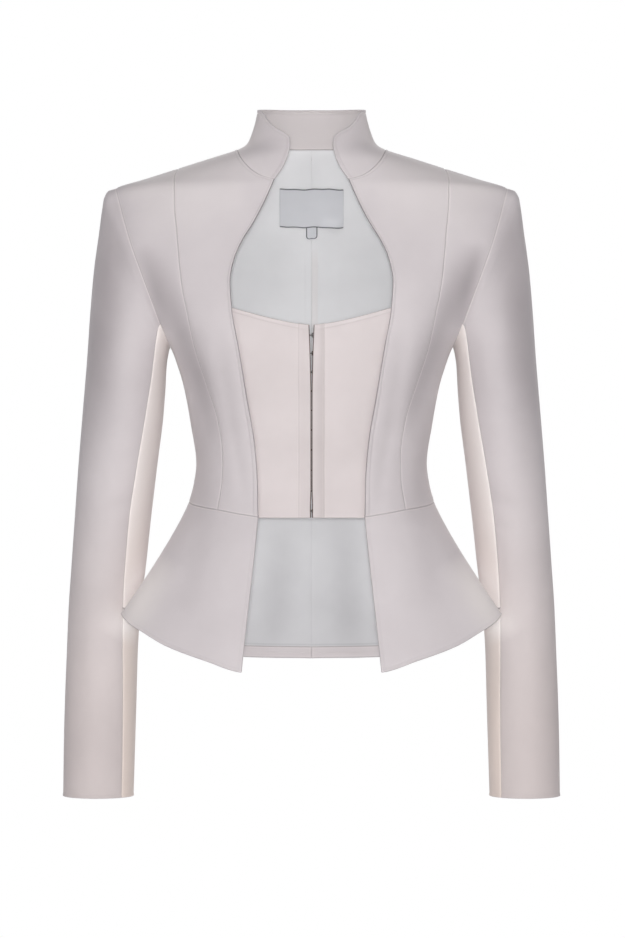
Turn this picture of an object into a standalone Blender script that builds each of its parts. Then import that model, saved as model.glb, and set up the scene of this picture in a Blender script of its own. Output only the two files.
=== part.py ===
"""A fitted peplum jacket, worn open over a general figure, as a hollow cloth form.

Sizes in the tables are millimetres. The origin lies between the shoulders at the base
of the neck. +Z is up, the front faces -Y, and +X is the wearer's left, on the right of a front view.
Every piece is a cloth wall, lofted between seams that are drawn on one smooth body form.
"""

import math
from bisect import bisect_right
from collections import namedtuple

import bpy
from mathutils import Vector
from mathutils.bvhtree import BVHTree

# Cloth and seam sizes, in millimetres
MM = 0.001
SHELL_WALL = 2.0
COLLAR_WALL = 2.4
BODICE_WALL = 1.5
LINING_WALL = 1.0
HALF_GAP = 0.16
LINING_GAP = 0.35
BODICE_GAP = 0.9
LABEL_GAP = 0.6

# Number of grid cells along each kind of seam
SIDE_CELLS = 8
ARMHOLE_CELLS = 12
EDGE_CELLS = 15
NECK_CELLS = SIDE_CELLS + ARMHOLE_CELLS - EDGE_CELLS
PANEL_COLUMNS = 5
COLLAR_ROWS = 6
PEPLUM_ROWS = 6
BODICE_ROWS = 10
BODICE_COLUMNS = 5

# Where two seams meet, in millimetres of height
SHOULDER_TIP = -39.0
PRINCESS_TOP = -19.0
NECK_SIDE = 0.0
NECK_BACK = 5.0
NECK_FRONT = -34.7
ARMPIT = -201.0
PRINCESS_TURN = -75.0

# One row for each level of the body form: half width, depths before and behind, and
# the power of the rounded section (2 is an ellipse, more is boxier, less is pointed).
BodyRow = namedtuple("BodyRow", "height width front back power")
BODY = (
    BodyRow(47, 54.0, 49, 52, 2.00),
    BodyRow(37, 55.5, 50, 54, 2.00),
    BodyRow(26, 58.0, 53, 56, 2.00),
    BodyRow(15, 61.5, 57, 58, 2.00),
    BodyRow(8, 64.5, 60, 60, 1.95),
    BodyRow(4, 68.0, 62, 61, 1.88),
    BodyRow(0, 76.0, 63, 62, 1.78),
    BodyRow(-9, 104.5, 66, 66, 1.62),
    BodyRow(-19, 136.0, 69, 71, 1.58),
    BodyRow(-30, 170.7, 73, 77, 1.62),
    BodyRow(-39, 199.0, 77, 82, 1.68),
    BodyRow(-45, 204.5, 79, 85, 1.75),
    BodyRow(-58, 209.0, 83, 91, 1.87),
    BodyRow(-75, 213.0, 89, 97, 2.00),
    BodyRow(-98, 214.0, 97, 103, 2.10),
    BodyRow(-124, 206.0, 106, 107, 2.20),
    BodyRow(-152, 184.0, 115, 109, 2.35),
    BodyRow(-184, 157.0, 122, 107, 2.50),
    BodyRow(-201, 144.0, 124, 105, 2.50),
    BodyRow(-220, 136.5, 123, 100, 2.45),
    BodyRow(-242, 130.0, 119, 92, 2.40),
    BodyRow(-280, 123.0, 107, 78, 2.30),
    BodyRow(-320, 117.5, 96, 69, 2.20),
    BodyRow(-340, 120.0, 94.5, 69, 2.20),
    BodyRow(-360, 125.5, 97, 72, 2.20),
    BodyRow(-376, 131.0, 100, 76, 2.20),
)

# Seams drawn on the body form: distance from the centre line at each height.
SeamRow = namedtuple("SeamRow", "height across")
FRONT_EDGE = (
    SeamRow(-34.7, 37.6),
    SeamRow(-54, 46.0),
    SeamRow(-78, 58.0),
    SeamRow(-96, 69.0),
    SeamRow(-115, 77.2),
    SeamRow(-137, 81.2),
    SeamRow(-165, 79.5),
    SeamRow(-206, 72.5),
    SeamRow(-254, 64.8),
    SeamRow(-297, 57.6),
    SeamRow(-335, 54.4),
    SeamRow(-373, 53.6),
)
PRINCESS = (
    SeamRow(-19, 136.0),
    SeamRow(-31, 138.5),
    SeamRow(-60, 138.0),
    SeamRow(-84, 135.5),
    SeamRow(-122, 132.0),
    SeamRow(-146, 129.0),
    SeamRow(-168, 124.5),
    SeamRow(-204, 117.0),
    SeamRow(-243, 104.5),
    SeamRow(-277, 94.0),
    SeamRow(-312, 89.5),
    SeamRow(-335, 90.0),
    SeamRow(-366, 94.5),
)
BACK_PRINCESS = (
    SeamRow(-19, 136.0),
    SeamRow(-40, 137.0),
    SeamRow(-80, 131.0),
    SeamRow(-124, 120.0),
    SeamRow(-168, 106.0),
    SeamRow(-204, 94.0),
    SeamRow(-243, 82.0),
    SeamRow(-280, 73.0),
    SeamRow(-320, 69.0),
    SeamRow(-360, 74.0),
)
ARMHOLE = (
    SeamRow(-39, 199.0),
    SeamRow(-70, 190.5),
    SeamRow(-98, 182.0),
    SeamRow(-124, 172.5),
    SeamRow(-152, 162.0),
    SeamRow(-184, 150.5),
    SeamRow(-201, 144.0),
)
COLLAR_END = (
    SeamRow(9.5, 22.6),
    SeamRow(0, 22.0),
    SeamRow(-8, 23.5),
    SeamRow(-20, 28.0),
    SeamRow(-34.7, 37.6),
)

# The neck seam in front and the bodice's upper edge run across, so they give a height for each distance.
EdgeRow = namedtuple("EdgeRow", "across height")
NECK_SEAM = (
    EdgeRow(37.6, -34.7),
    EdgeRow(44.0, -33.0),
    EdgeRow(50.3, -31.0),
    EdgeRow(59.0, -25.5),
    EdgeRow(67.4, -17.0),
    EdgeRow(72.8, -8.5),
    EdgeRow(76.0, 0.0),
)
BODICE_TOP = (
    EdgeRow(0, -182.5),
    EdgeRow(20, -179.5),
    EdgeRow(44, -174.0),
    EdgeRow(76, -165.0),
    EdgeRow(100, -157.0),
    EdgeRow(126, -149.0),
)

# Lines that run round the body, by the angle from the centre front.
RoundRow = namedtuple("RoundRow", "degrees height")
COLLAR_TOP = (
    RoundRow(18.7, 9.5),
    RoundRow(25.5, 14.5),
    RoundRow(38, 20.5),
    RoundRow(51, 28.5),
    RoundRow(63.5, 36.5),
    RoundRow(90, 41.0),
    RoundRow(135, 44.2),
    RoundRow(180, 45.2),
)
HEM = (
    RoundRow(0, -530),
    RoundRow(19, -526),
    RoundRow(31, -515),
    RoundRow(46, -502),
    RoundRow(64, -485),
    RoundRow(90, -472),
    RoundRow(116, -491),
    RoundRow(140, -512),
    RoundRow(160, -521.5),
    RoundRow(180, -523),
)

# Peplum: waist seam heights where the panels meet it, the hem's section and the flare between
WAIST_FRONT = -373.0
WAIST_PRINCESS = -366.0
WAIST_SIDE = -358.0
WAIST_BACK_PRINCESS = -360.0
WAIST_BACK = -361.0
HEM_WIDTH = 193.0
HEM_FRONT = 138.0
HEM_BACK = 116.0
HEM_SIDE_SHIFT = -20.0
HEM_FRONT_POWER = 2.2
HEM_BACK_POWER = 1.6
HEM_FRONT_EDGE = 69.4
FLARE_POWER = 1.15
HEM_FACING_DEPTH = 12.5

# The closure: half the gap between the two bands, and the bands' outer edge
GapRow = namedtuple("GapRow", "height half_gap")
CLOSURE = (
    GapRow(-182.5, 2.6),
    GapRow(-205, 1.7),
    GapRow(-228, 1.05),
    GapRow(-252, 0.6),
    GapRow(-345, 0.6),
    GapRow(-362, 1.2),
    GapRow(-373, 1.0),
)
BAND_EDGE = 12.9

# Sleeve: one row for each ring below the armhole. Outer and inner are the ends of the ring
# in a front view, middle its depth, blend how far it has left the armhole's own shape, and
# the last two are the seams' angles from the inner end.
SleeveRow = namedtuple(
    "SleeveRow",
    "outer_x outer_z inner_x inner_z middle half_depth blend front_seam back_seam",
)
SLEEVE = (
    SleeveRow(207.5, -41.7, 144.8, -203, 0, 62.0, 0.03, 43, 73),
    SleeveRow(211.3, -48.0, 145.5, -205.5, 0, 62.5, 0.10, 43, 73),
    SleeveRow(213.8, -62, 146.1, -208.5, 1, 63.5, 0.25, 43, 74),
    SleeveRow(217.0, -86, 146.8, -212, 2, 64.5, 0.45, 43, 75),
    SleeveRow(222.0, -122, 147.6, -217, 4, 65.0, 0.70, 43, 76),
    SleeveRow(226.0, -166, 148.4, -226, 7, 64.0, 0.90, 44, 78),
    SleeveRow(229.5, -214, 149.3, -242, 11, 62.0, 1.00, 47, 80),
    SleeveRow(234.0, -264, 151.8, -272, 17, 59.0, 1.00, 52, 84),
    SleeveRow(239.2, -322, 158.6, -324, 26, 56.0, 1.00, 57, 88),
    SleeveRow(243.6, -378, 165.4, -379, 35, 53.0, 1.00, 61, 90),
    SleeveRow(247.2, -425, 170.7, -426, 41, 50.5, 1.00, 60, 90),
    SleeveRow(250.3, -470, 176.2, -470, 43, 48.5, 1.00, 55, 88),
    SleeveRow(252.0, -515, 179.0, -515, 41, 47.0, 1.00, 51, 85),
    SleeveRow(253.5, -560, 180.0, -560, 36, 45.5, 1.00, 48, 82),
    SleeveRow(254.4, -610, 181.2, -610, 29, 44.0, 1.00, 46, 79),
    SleeveRow(254.6, -660, 182.5, -660, 22, 42.5, 1.00, 45, 77),
)
FRONT_SEAM_CELL = 3
BACK_SEAM_CELL = 5

# Hooks and eyes, in the local frame of the closure: across, along and into the jacket
HOOK_COUNT = 10
HOOK_TOP = -191.6
HOOK_BOTTOM = -365.9
WIRE_RADIUS = 0.4
WIRE_SIDES = 1
CURL_RADIUS = 1.15
CURL_CENTRE = 0.6
CURL_POINTS = 5
WIRE_SEAT = 0.9
HOOK_REACH = 6.5
HOOK_TIP = -1.6
EYE_BAR = 0.55
EYE_HALF_HEIGHT = 1.9
EYE_CORNER = 0.65

# Labels on the back lining
LABEL_HALF_WIDTH = 33.0
LABEL_TOP = -34.5
LABEL_BOTTOM = -73.5
LABEL_COLUMNS = 12
LABEL_ROWS = 6
OFF_SEAM = 0.01
TAB_LEFT = -5.2
TAB_RIGHT = 5.7
TAB_TOP = -74.0
TAB_BOTTOM = -85.5

HALF_TURN = math.pi
QUARTER_TURN = math.pi / 2
ANGLE_STEP = 0.01
HEIGHT_STEP = 0.5
SEAM_SAMPLES = 400
SHARP_ANGLE = math.radians(40)
RIM_LEAN = 1 / 3
DISPLAY_GAMMA = 2.2

MaterialRow = namedtuple("MaterialRow", "name red green blue roughness metallic")
SHELL = MaterialRow("shell_crepe", 216, 207, 206, 0.78, 0.0)
INSERT = MaterialRow("insert_crepe", 226, 216, 212, 0.78, 0.0)
LINING = MaterialRow("lining_satin", 206, 209, 211, 0.45, 0.0)
LABEL = MaterialRow("label_satin", 188, 193, 197, 0.40, 0.0)
METAL = MaterialRow("hook_metal", 150, 140, 134, 0.30, 1.0)


class SmoothColumn:
    """One column of a table as a smooth curve that passes through its rows and never overshoots."""

    def __init__(self, keys, values):
        pairs = sorted(zip(keys, values))
        self.keys = [key for key, _ in pairs]
        self.values = [value for _, value in pairs]
        self.slopes = self.find_slopes()

    def find_slopes(self):
        last = len(self.keys) - 1
        steps = []
        for i in range(last):
            rise = self.values[i + 1] - self.values[i]
            steps.append(rise / (self.keys[i + 1] - self.keys[i]))
        slopes = [steps[0]]
        for i in range(1, last):
            product = steps[i - 1] * steps[i]
            total = steps[i - 1] + steps[i]
            slopes.append(2 * product / total if product > 0 else 0.0)
        return slopes + [steps[-1]]

    def __call__(self, at):
        at = min(max(at, self.keys[0]), self.keys[-1])
        i = min(bisect_right(self.keys, at) - 1, len(self.keys) - 2)
        span = self.keys[i + 1] - self.keys[i]
        t = (at - self.keys[i]) / span
        from_start = self.values[i] * (1 + 2 * t) + self.slopes[i] * span * t
        from_end = self.values[i + 1] * (3 - 2 * t) - self.slopes[i + 1] * span * (1 - t)
        return from_start * (1 - t) ** 2 + from_end * t * t


def smooth_columns(rows):
    """Every column of a table after the first, as smooth curves along the first."""
    keys = [row[0] for row in rows]
    names = rows[0]._fields[1:]
    return {name: SmoothColumn(keys, [getattr(row, name) for row in rows]) for name in names}


BODY_AT = smooth_columns(BODY)
FRONT_EDGE_AT = smooth_columns(FRONT_EDGE)["across"]
PRINCESS_AT = smooth_columns(PRINCESS)["across"]
BACK_PRINCESS_AT = smooth_columns(BACK_PRINCESS)["across"]
ARMHOLE_AT = smooth_columns(ARMHOLE)["across"]
COLLAR_END_AT = smooth_columns(COLLAR_END)["across"]
NECK_SEAM_AT = smooth_columns(NECK_SEAM)["height"]
BODICE_TOP_AT = smooth_columns(BODICE_TOP)["height"]
COLLAR_TOP_AT = smooth_columns(COLLAR_TOP)["height"]
HEM_AT = smooth_columns(HEM)["height"]
CLOSURE_AT = smooth_columns(CLOSURE)["half_gap"]


def mix(first, second, share):
    return first + (second - first) * share


def mix_places(first, second, share):
    """A place is an (angle, height) pair."""
    return tuple(mix(a, b, share) for a, b in zip(first, second))


def rounded(angle, power):
    """Sine and cosine shares of a section, with their signs.

    A power under 2 draws in only the sides, so that the centre front and back stay round.
    """
    sine = math.sin(angle)
    cosine = math.cos(angle)
    sideways = abs(sine) ** (2 / max(power, 2))
    forward = abs(cosine) ** (2 / power)
    return math.copysign(sideways, sine), math.copysign(forward, cosine)


def body_point(angle, height):
    """A point of the body form, at an angle from the centre front."""
    sideways, forward = rounded(angle, BODY_AT["power"](height))
    depth = BODY_AT["front"](height) if forward > 0 else BODY_AT["back"](height)
    return Vector((BODY_AT["width"](height) * sideways, -depth * forward, height))


def angle_on_body(height, across, behind=False):
    """The angle at which the body form is this far from the centre line."""
    share = min(1.0, across / BODY_AT["width"](height))
    angle = math.asin(share ** (max(BODY_AT["power"](height), 2) / 2))
    return HALF_TURN - angle if behind else angle


def normal_of(surface, place):
    """The outward direction of a surface, from points on both sides of a place."""
    u, v = place
    along = surface(u + ANGLE_STEP, v) - surface(u - ANGLE_STEP, v)
    upward = surface(u, v + HEIGHT_STEP) - surface(u, v - HEIGHT_STEP)
    return along.cross(upward).normalized()


def evenly(places, cells, surface=body_point):
    """Places at equal distances along a finely drawn line on a surface."""
    points = [surface(*place) for place in places]
    lengths = [0.0]
    for first, second in zip(points, points[1:]):
        lengths.append(lengths[-1] + (second - first).length)
    chosen = [places[0]]
    for cell in range(1, cells):
        wanted = lengths[-1] * cell / cells
        i = bisect_right(lengths, wanted) - 1
        share = (wanted - lengths[i]) / (lengths[i + 1] - lengths[i])
        chosen.append(mix_places(places[i], places[i + 1], share))
    return chosen + [places[-1]]


def seam_places(across_at, bottom, top, cells, behind=False):
    """Evenly spaced places on a seam whose distance from the centre is known at each height."""
    heights = [mix(bottom, top, i / SEAM_SAMPLES) for i in range(SEAM_SAMPLES + 1)]
    drawn = [(angle_on_body(height, across_at(height), behind), height) for height in heights]
    return evenly(drawn, cells)


def straight_places(first, second, cells):
    drawn = [mix_places(first, second, i / SEAM_SAMPLES) for i in range(SEAM_SAMPLES + 1)]
    return evenly(drawn, cells)


def rows_between(inner, outer, columns):
    """Rows of places from one seam to another."""
    return [
        [mix_places(a, b, i / columns) for i in range(columns + 1)]
        for a, b in zip(inner, outer)
    ]


def join_rows(first, second):
    """Two panels side by side as one, their shared seam kept once."""
    return [a + b[1:] for a, b in zip(first, second)]


def front_neck_places():
    """The neck seam from the front edge to the side of the neck."""
    first = NECK_SEAM[0].across
    last = NECK_SEAM[-1].across
    drawn = []
    for i in range(SEAM_SAMPLES + 1):
        across = mix(first, last, i / SEAM_SAMPLES)
        height = NECK_SEAM_AT(across)
        drawn.append((angle_on_body(height, across), height))
    drawn[-1] = (QUARTER_TURN, NECK_SIDE)
    return evenly(drawn, NECK_CELLS)


def back_neck_places():
    """The neck seam from the centre back to the side of the neck."""
    drawn = []
    for i in range(SEAM_SAMPLES + 1):
        share = i / SEAM_SAMPLES
        height = mix(NECK_BACK, NECK_SIDE, share * share)
        drawn.append((mix(HALF_TURN, QUARTER_TURN, share), height))
    return evenly(drawn, NECK_CELLS)


def princess_places(across_at, bottom, behind):
    """The princess seam from the waist to the shoulder seam, spaced as the panel beside it."""
    lower = seam_places(across_at, bottom, PRINCESS_TURN, EDGE_CELLS, behind)
    upper = seam_places(across_at, PRINCESS_TURN, PRINCESS_TOP, NECK_CELLS, behind)
    return lower + upper[1:]


def side_places(behind):
    """The side seam and then the armhole, from the waist to the tip of the shoulder."""
    waist = (QUARTER_TURN, WAIST_SIDE)
    armpit = (QUARTER_TURN, ARMPIT)
    side = straight_places(waist, armpit, SIDE_CELLS)
    armhole = seam_places(ARMHOLE_AT, ARMPIT, SHOULDER_TIP, ARMHOLE_CELLS, behind)
    return side + armhole[1:]


def front_centre_rows():
    edge = seam_places(FRONT_EDGE_AT, WAIST_FRONT, NECK_FRONT, EDGE_CELLS)
    inner = edge + front_neck_places()[1:]
    outer = princess_places(PRINCESS_AT, WAIST_PRINCESS, False)
    return rows_between(inner, outer, PANEL_COLUMNS)


def front_side_rows():
    inner = princess_places(PRINCESS_AT, WAIST_PRINCESS, False)
    return rows_between(inner, side_places(False), PANEL_COLUMNS)


def back_side_rows():
    outer = princess_places(BACK_PRINCESS_AT, WAIST_BACK_PRINCESS, True)
    return rows_between(side_places(True), outer, PANEL_COLUMNS)


def back_centre_rows():
    centre = straight_places((HALF_TURN, WAIST_BACK), (HALF_TURN, NECK_BACK), EDGE_CELLS)
    outer = centre + back_neck_places()[1:]
    inner = princess_places(BACK_PRINCESS_AT, WAIST_BACK_PRINCESS, True)
    return rows_between(inner, outer, PANEL_COLUMNS)


def collar_rows():
    """Half the collar: a patch between its neck seam, its upper edge, its front end and the centre back."""
    bottom = front_neck_places() + back_neck_places()[::-1][1:]
    first_angle = COLLAR_TOP[0].degrees
    last_angle = COLLAR_TOP[-1].degrees
    drawn = []
    for i in range(SEAM_SAMPLES + 1):
        degrees = mix(first_angle, last_angle, i / SEAM_SAMPLES)
        drawn.append((math.radians(degrees), COLLAR_TOP_AT(degrees)))
    top = evenly(drawn, len(bottom) - 1)
    front = seam_places(COLLAR_END_AT, NECK_FRONT, COLLAR_TOP[0].height, COLLAR_ROWS)
    back = straight_places(bottom[-1], top[-1], COLLAR_ROWS)
    rows = []
    for j in range(COLLAR_ROWS + 1):
        up = j / COLLAR_ROWS
        row = []
        for i in range(len(bottom)):
            along = i / (len(bottom) - 1)
            between_edges = mix_places(bottom[i], top[i], up)
            between_ends = mix_places(front[j], back[j], along)
            low = mix_places(bottom[0], bottom[-1], along)
            high = mix_places(top[0], top[-1], along)
            corners = mix_places(low, high, up)
            row.append(tuple(a + b - c for a, b, c in zip(between_edges, between_ends, corners)))
        rows.append(row)
    return rows


def waist_corners():
    """Angle and height where each seam meets the waist."""
    return (
        (angle_on_body(WAIST_FRONT, FRONT_EDGE_AT(WAIST_FRONT)), WAIST_FRONT),
        (angle_on_body(WAIST_PRINCESS, PRINCESS_AT(WAIST_PRINCESS)), WAIST_PRINCESS),
        (QUARTER_TURN, WAIST_SIDE),
        (
            angle_on_body(WAIST_BACK_PRINCESS, BACK_PRINCESS_AT(WAIST_BACK_PRINCESS), True),
            WAIST_BACK_PRINCESS,
        ),
        (HALF_TURN, WAIST_BACK),
    )


def waist_height(angle):
    """The waist seam's height, straight between the seams that meet it."""
    corners = waist_corners()
    angle = min(max(angle, corners[0][0]), 2 * HALF_TURN - corners[0][0])
    if angle > HALF_TURN:
        angle = 2 * HALF_TURN - angle
    for (start, low), (end, high) in zip(corners, corners[1:]):
        if angle <= end:
            return mix(low, high, (angle - start) / (end - start))
    return corners[-1][1]


def hem_point(angle):
    """A point of the peplum's hem. It is widest a little before the side."""
    front = math.cos(angle) > 0
    power = HEM_FRONT_POWER if front else HEM_BACK_POWER
    sideways, forward = rounded(angle, power)
    depth = HEM_FRONT + HEM_SIDE_SHIFT if front else HEM_BACK - HEM_SIDE_SHIFT
    turned = math.degrees(angle)
    degrees = turned if turned <= 180 else 360 - turned
    return Vector((HEM_WIDTH * sideways, HEM_SIDE_SHIFT - depth * forward, HEM_AT(degrees)))


def peplum_point(angle, drop):
    """A point of the peplum, with drop running from 0 at the waist to -1 at the hem."""
    top = body_point(angle, waist_height(angle))
    bottom = hem_point(angle)
    share = max(0.0, -drop)
    spread = share ** FLARE_POWER
    return Vector(
        (
            mix(top.x, bottom.x, spread),
            mix(top.y, bottom.y, spread),
            mix(top.z, bottom.z, -drop),
        )
    )


def peplum_normal(place):
    """The outward direction of the peplum. At the waist it is that of the panel above."""
    angle, drop = place
    if drop == 0:
        return normal_of(body_point, (angle, waist_height(angle)))
    along = peplum_point(angle + ANGLE_STEP, drop) - peplum_point(angle - ANGLE_STEP, drop)
    upward = peplum_point(angle, drop + ANGLE_STEP) - peplum_point(angle, drop - ANGLE_STEP)
    return along.cross(upward).normalized()


def peplum_rows(body_rows, hem_angle=None, first_drop=0.0, last_drop=-1.0, rows=PEPLUM_ROWS):
    """Rows of peplum places below a panel's waist, the lowest first."""
    angles = [place[0] for place in body_rows[0]]
    start = angles[0]
    end = angles[-1]
    lowest = start if hem_angle is None else hem_angle
    found = []
    for j in range(rows + 1):
        drop = mix(last_drop, first_drop, j / rows)
        first = mix(start, lowest, -drop)
        row = []
        for angle in angles:
            share = (angle - start) / (end - start)
            row.append((mix(first, end, share), drop))
        found.append(row)
    return found


def sheet_of(rows, surface, normal):
    """Points and outward directions of a piece from its rows of places."""
    points = [[surface(*place) for place in row] for row in rows]
    normals = [[normal(place) for place in row] for row in rows]
    return points, normals


def body_sheet(rows):
    return sheet_of(rows, body_point, lambda place: normal_of(body_point, place))


def peplum_sheet(rows):
    return sheet_of(rows, peplum_point, peplum_normal)


def mirrored(sheet):
    """The same piece on the other side of the centre line, its columns reversed."""
    points, normals = sheet
    flip = Vector((-1, 1, 1))
    return (
        [[point * flip for point in reversed(row)] for row in points],
        [[normal * flip for normal in reversed(row)] for row in normals],
    )


def trimmed(sheet, allowance=HALF_GAP):
    """The sheet with its four edges drawn in, square to each edge, to leave the seam gap."""
    points, normals = sheet
    last_row = len(points) - 1
    last_column = len(points[0]) - 1
    moved = [[point.copy() for point in row] for row in points]
    for j in range(last_row + 1):
        for i in range(last_column + 1):
            normal = normals[j][i]
            beside = points[j][min(i + 1, last_column)] - points[j][max(i - 1, 0)]
            above = points[min(j + 1, last_row)][i] - points[max(j - 1, 0)][i]
            inward_from_bottom = normal.cross(beside).normalized()
            inward_from_start = above.cross(normal).normalized()
            if j == 0:
                moved[j][i] += inward_from_bottom * allowance
            if j == last_row:
                moved[j][i] -= inward_from_bottom * allowance
            if i == 0:
                moved[j][i] += inward_from_start * allowance
            if i == last_column:
                moved[j][i] -= inward_from_start * allowance
    return moved, normals


def moved_in(sheet, distance):
    points, normals = sheet
    inner = [
        [point - normal * distance for point, normal in zip(row, directions)]
        for row, directions in zip(points, normals)
    ]
    return inner, normals


def new_material(row):
    """A Principled material from a row of display colour values."""
    material = bpy.data.materials.new(row.name)
    material.use_nodes = True
    shader = material.node_tree.nodes["Principled BSDF"]
    colour = [(value / 255) ** DISPLAY_GAMMA for value in (row.red, row.green, row.blue)]
    shader.inputs["Base Color"].default_value = (*colour, 1)
    shader.inputs["Roughness"].default_value = row.roughness
    shader.inputs["Metallic"].default_value = row.metallic
    material.diffuse_color = (*colour, 1)
    return material


def new_object(name, mesh, material_row, collection):
    mesh.materials.append(new_material(material_row._replace(name=name + "_" + material_row.name)))
    mesh.shade_smooth()
    mesh.set_sharp_from_angle(angle=SHARP_ANGLE)
    piece = bpy.data.objects.new(name, mesh)
    collection.objects.link(piece)
    return piece


def rim_order(point):
    """Ranks the ends of a rim from low to high, the same on both sides of the centre line."""
    return point.z + point.y * RIM_LEAN


def wall_mesh(name, outer, inner, mirror_side=False):
    """A closed wall lofted between an outer and an inner grid of points.

    Both grids are split along the same diagonals, so that layers of cloth stay parallel,
    and each rim along the diagonal from its lower point, so that neighbours match at a seam.
    """
    rows = len(outer)
    columns = len(outer[0])
    points = [point * MM for grid in (outer, inner) for row in grid for point in row]
    behind = rows * columns
    faces = []
    for j in range(rows - 1):
        for i in range(columns - 1):
            a = j * columns + i
            b = a + 1
            c = b + columns
            d = a + columns
            halves = ((a, b, d), (b, c, d)) if mirror_side else ((a, b, c), (a, c, d))
            for half in halves:
                faces.append(half)
                faces.append(tuple(behind + corner for corner in reversed(half)))
    rim = list(range(columns))
    rim += [j * columns + columns - 1 for j in range(1, rows)]
    rim += [(rows - 1) * columns + i for i in range(columns - 2, -1, -1)]
    rim += [j * columns for j in range(rows - 2, 0, -1)]
    for a, b in zip(rim, rim[1:] + rim[:1]):
        inner_a = behind + a
        inner_b = behind + b
        if rim_order(points[a]) < rim_order(points[b]):
            faces += [(b, a, inner_b), (a, inner_a, inner_b)]
        else:
            faces += [(b, a, inner_a), (b, inner_a, inner_b)]
    mesh = bpy.data.meshes.new(name)
    mesh.from_pydata([tuple(point) for point in points], [], faces)
    mesh.validate()
    return mesh


def cloth_piece(name, sheet, thickness, material_row, collection, inset=0.0, mirror_side=False):
    """A cloth wall whose outer face lies inset inside the sheet."""
    outer, _ = moved_in(sheet, inset)
    inner, _ = moved_in(sheet, inset + thickness)
    mesh = wall_mesh(name, outer, inner, mirror_side)
    return new_object(name, mesh, material_row, collection)


def cloth_pair(name, sheet, thickness, material_row, collection, inset=0.0):
    """The same cloth piece on both sides of the centre line."""
    cut = trimmed(sheet)
    other = mirrored(cut)
    cloth_piece(name + "_right", cut, thickness, material_row, collection, inset)
    cloth_piece(name + "_left", other, thickness, material_row, collection, inset, True)


def make_collar(collection):
    points, normals = body_sheet(collar_rows())
    left_points, left_normals = mirrored((points, normals))
    whole = (
        join_rows(points, left_points),
        join_rows(normals, left_normals),
    )
    cloth_piece("collar", trimmed(whole), COLLAR_WALL, SHELL, collection)


def make_body_panels(collection):
    panels = {
        "front_centre": front_centre_rows(),
        "front_side": front_side_rows(),
        "back_side": back_side_rows(),
        "back_centre": back_centre_rows(),
    }
    for name, rows in panels.items():
        cloth_pair(name, body_sheet(rows), SHELL_WALL, SHELL, collection)


def make_back_lining(collection):
    rows = join_rows(back_side_rows(), back_centre_rows())
    inset = SHELL_WALL + LINING_GAP
    cloth_pair("back_lining", body_sheet(rows), LINING_WALL, LINING, collection, inset)


def make_peplum(collection):
    front_waist = join_rows(front_centre_rows()[:1], front_side_rows()[:1])
    back_waist = join_rows(back_side_rows()[:1], back_centre_rows()[:1])
    hem_angle = math.asin((HEM_FRONT_EDGE / HEM_WIDTH) ** (HEM_FRONT_POWER / 2))
    front = peplum_sheet(peplum_rows(front_waist, hem_angle))
    back = peplum_sheet(peplum_rows(back_waist))
    cloth_pair("peplum_front", front, SHELL_WALL, SHELL, collection)
    cloth_pair("peplum_back", back, SHELL_WALL, SHELL, collection)
    inset = SHELL_WALL + LINING_GAP
    facing_drop = HEM_FACING_DEPTH / (WAIST_BACK - HEM[-1].height) - 1
    lining = peplum_rows(back_waist, last_drop=facing_drop)
    facing = peplum_rows(back_waist, first_drop=facing_drop, rows=1)
    cloth_pair("peplum_lining", peplum_sheet(lining), LINING_WALL, LINING, collection, inset)
    cloth_pair("hem_facing", peplum_sheet(facing), LINING_WALL, SHELL, collection, inset)


def bodice_rows(inner_at, outer_at, columns):
    """Rows from one upright edge of the bodice to another, under its sloping upper edge."""
    rows = []
    for j in range(BODICE_ROWS + 1):
        up = j / BODICE_ROWS
        row = []
        for i in range(columns + 1):
            share = i / columns
            height = mix(WAIST_FRONT, BODICE_TOP_AT(0), up)
            across = mix(inner_at(height), outer_at(height), share)
            top = BODICE_TOP_AT(across)
            bottom = waist_height(angle_on_body(WAIST_FRONT, across))
            height = mix(bottom, top, up)
            across = mix(inner_at(height), outer_at(height), share)
            row.append((angle_on_body(height, across), height))
        rows.append(row)
    return rows


def make_bodice(collection):
    inset = SHELL_WALL + BODICE_GAP
    panel = bodice_rows(lambda height: BAND_EDGE, PRINCESS_AT, BODICE_COLUMNS)
    band = bodice_rows(CLOSURE_AT, lambda height: BAND_EDGE, 1)
    cloth_pair("bodice", body_sheet(panel), BODICE_WALL, INSERT, collection, inset)
    cloth_pair("bodice_band", body_sheet(band), BODICE_WALL, INSERT, collection, inset)


def ring_angle(base, base_front, base_back, front, back):
    """Slides an angle round a sleeve ring so that the two seams land where this ring has them."""
    if -base_back <= base <= base_front:
        share = (base + base_back) / (base_front + base_back)
        return mix(-back, front, share)
    if base < 0:
        base += 2 * HALF_TURN
    share = (base - base_front) / (2 * HALF_TURN - base_back - base_front)
    return mix(front, 2 * HALF_TURN - back, share)


def armhole_loop():
    """Places round the armhole, from the armpit up the front, over the shoulder and down the back."""
    front = side_places(False)[SIDE_CELLS:]
    back = side_places(True)[SIDE_CELLS:]
    return front + back[-2:0:-1]


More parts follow.
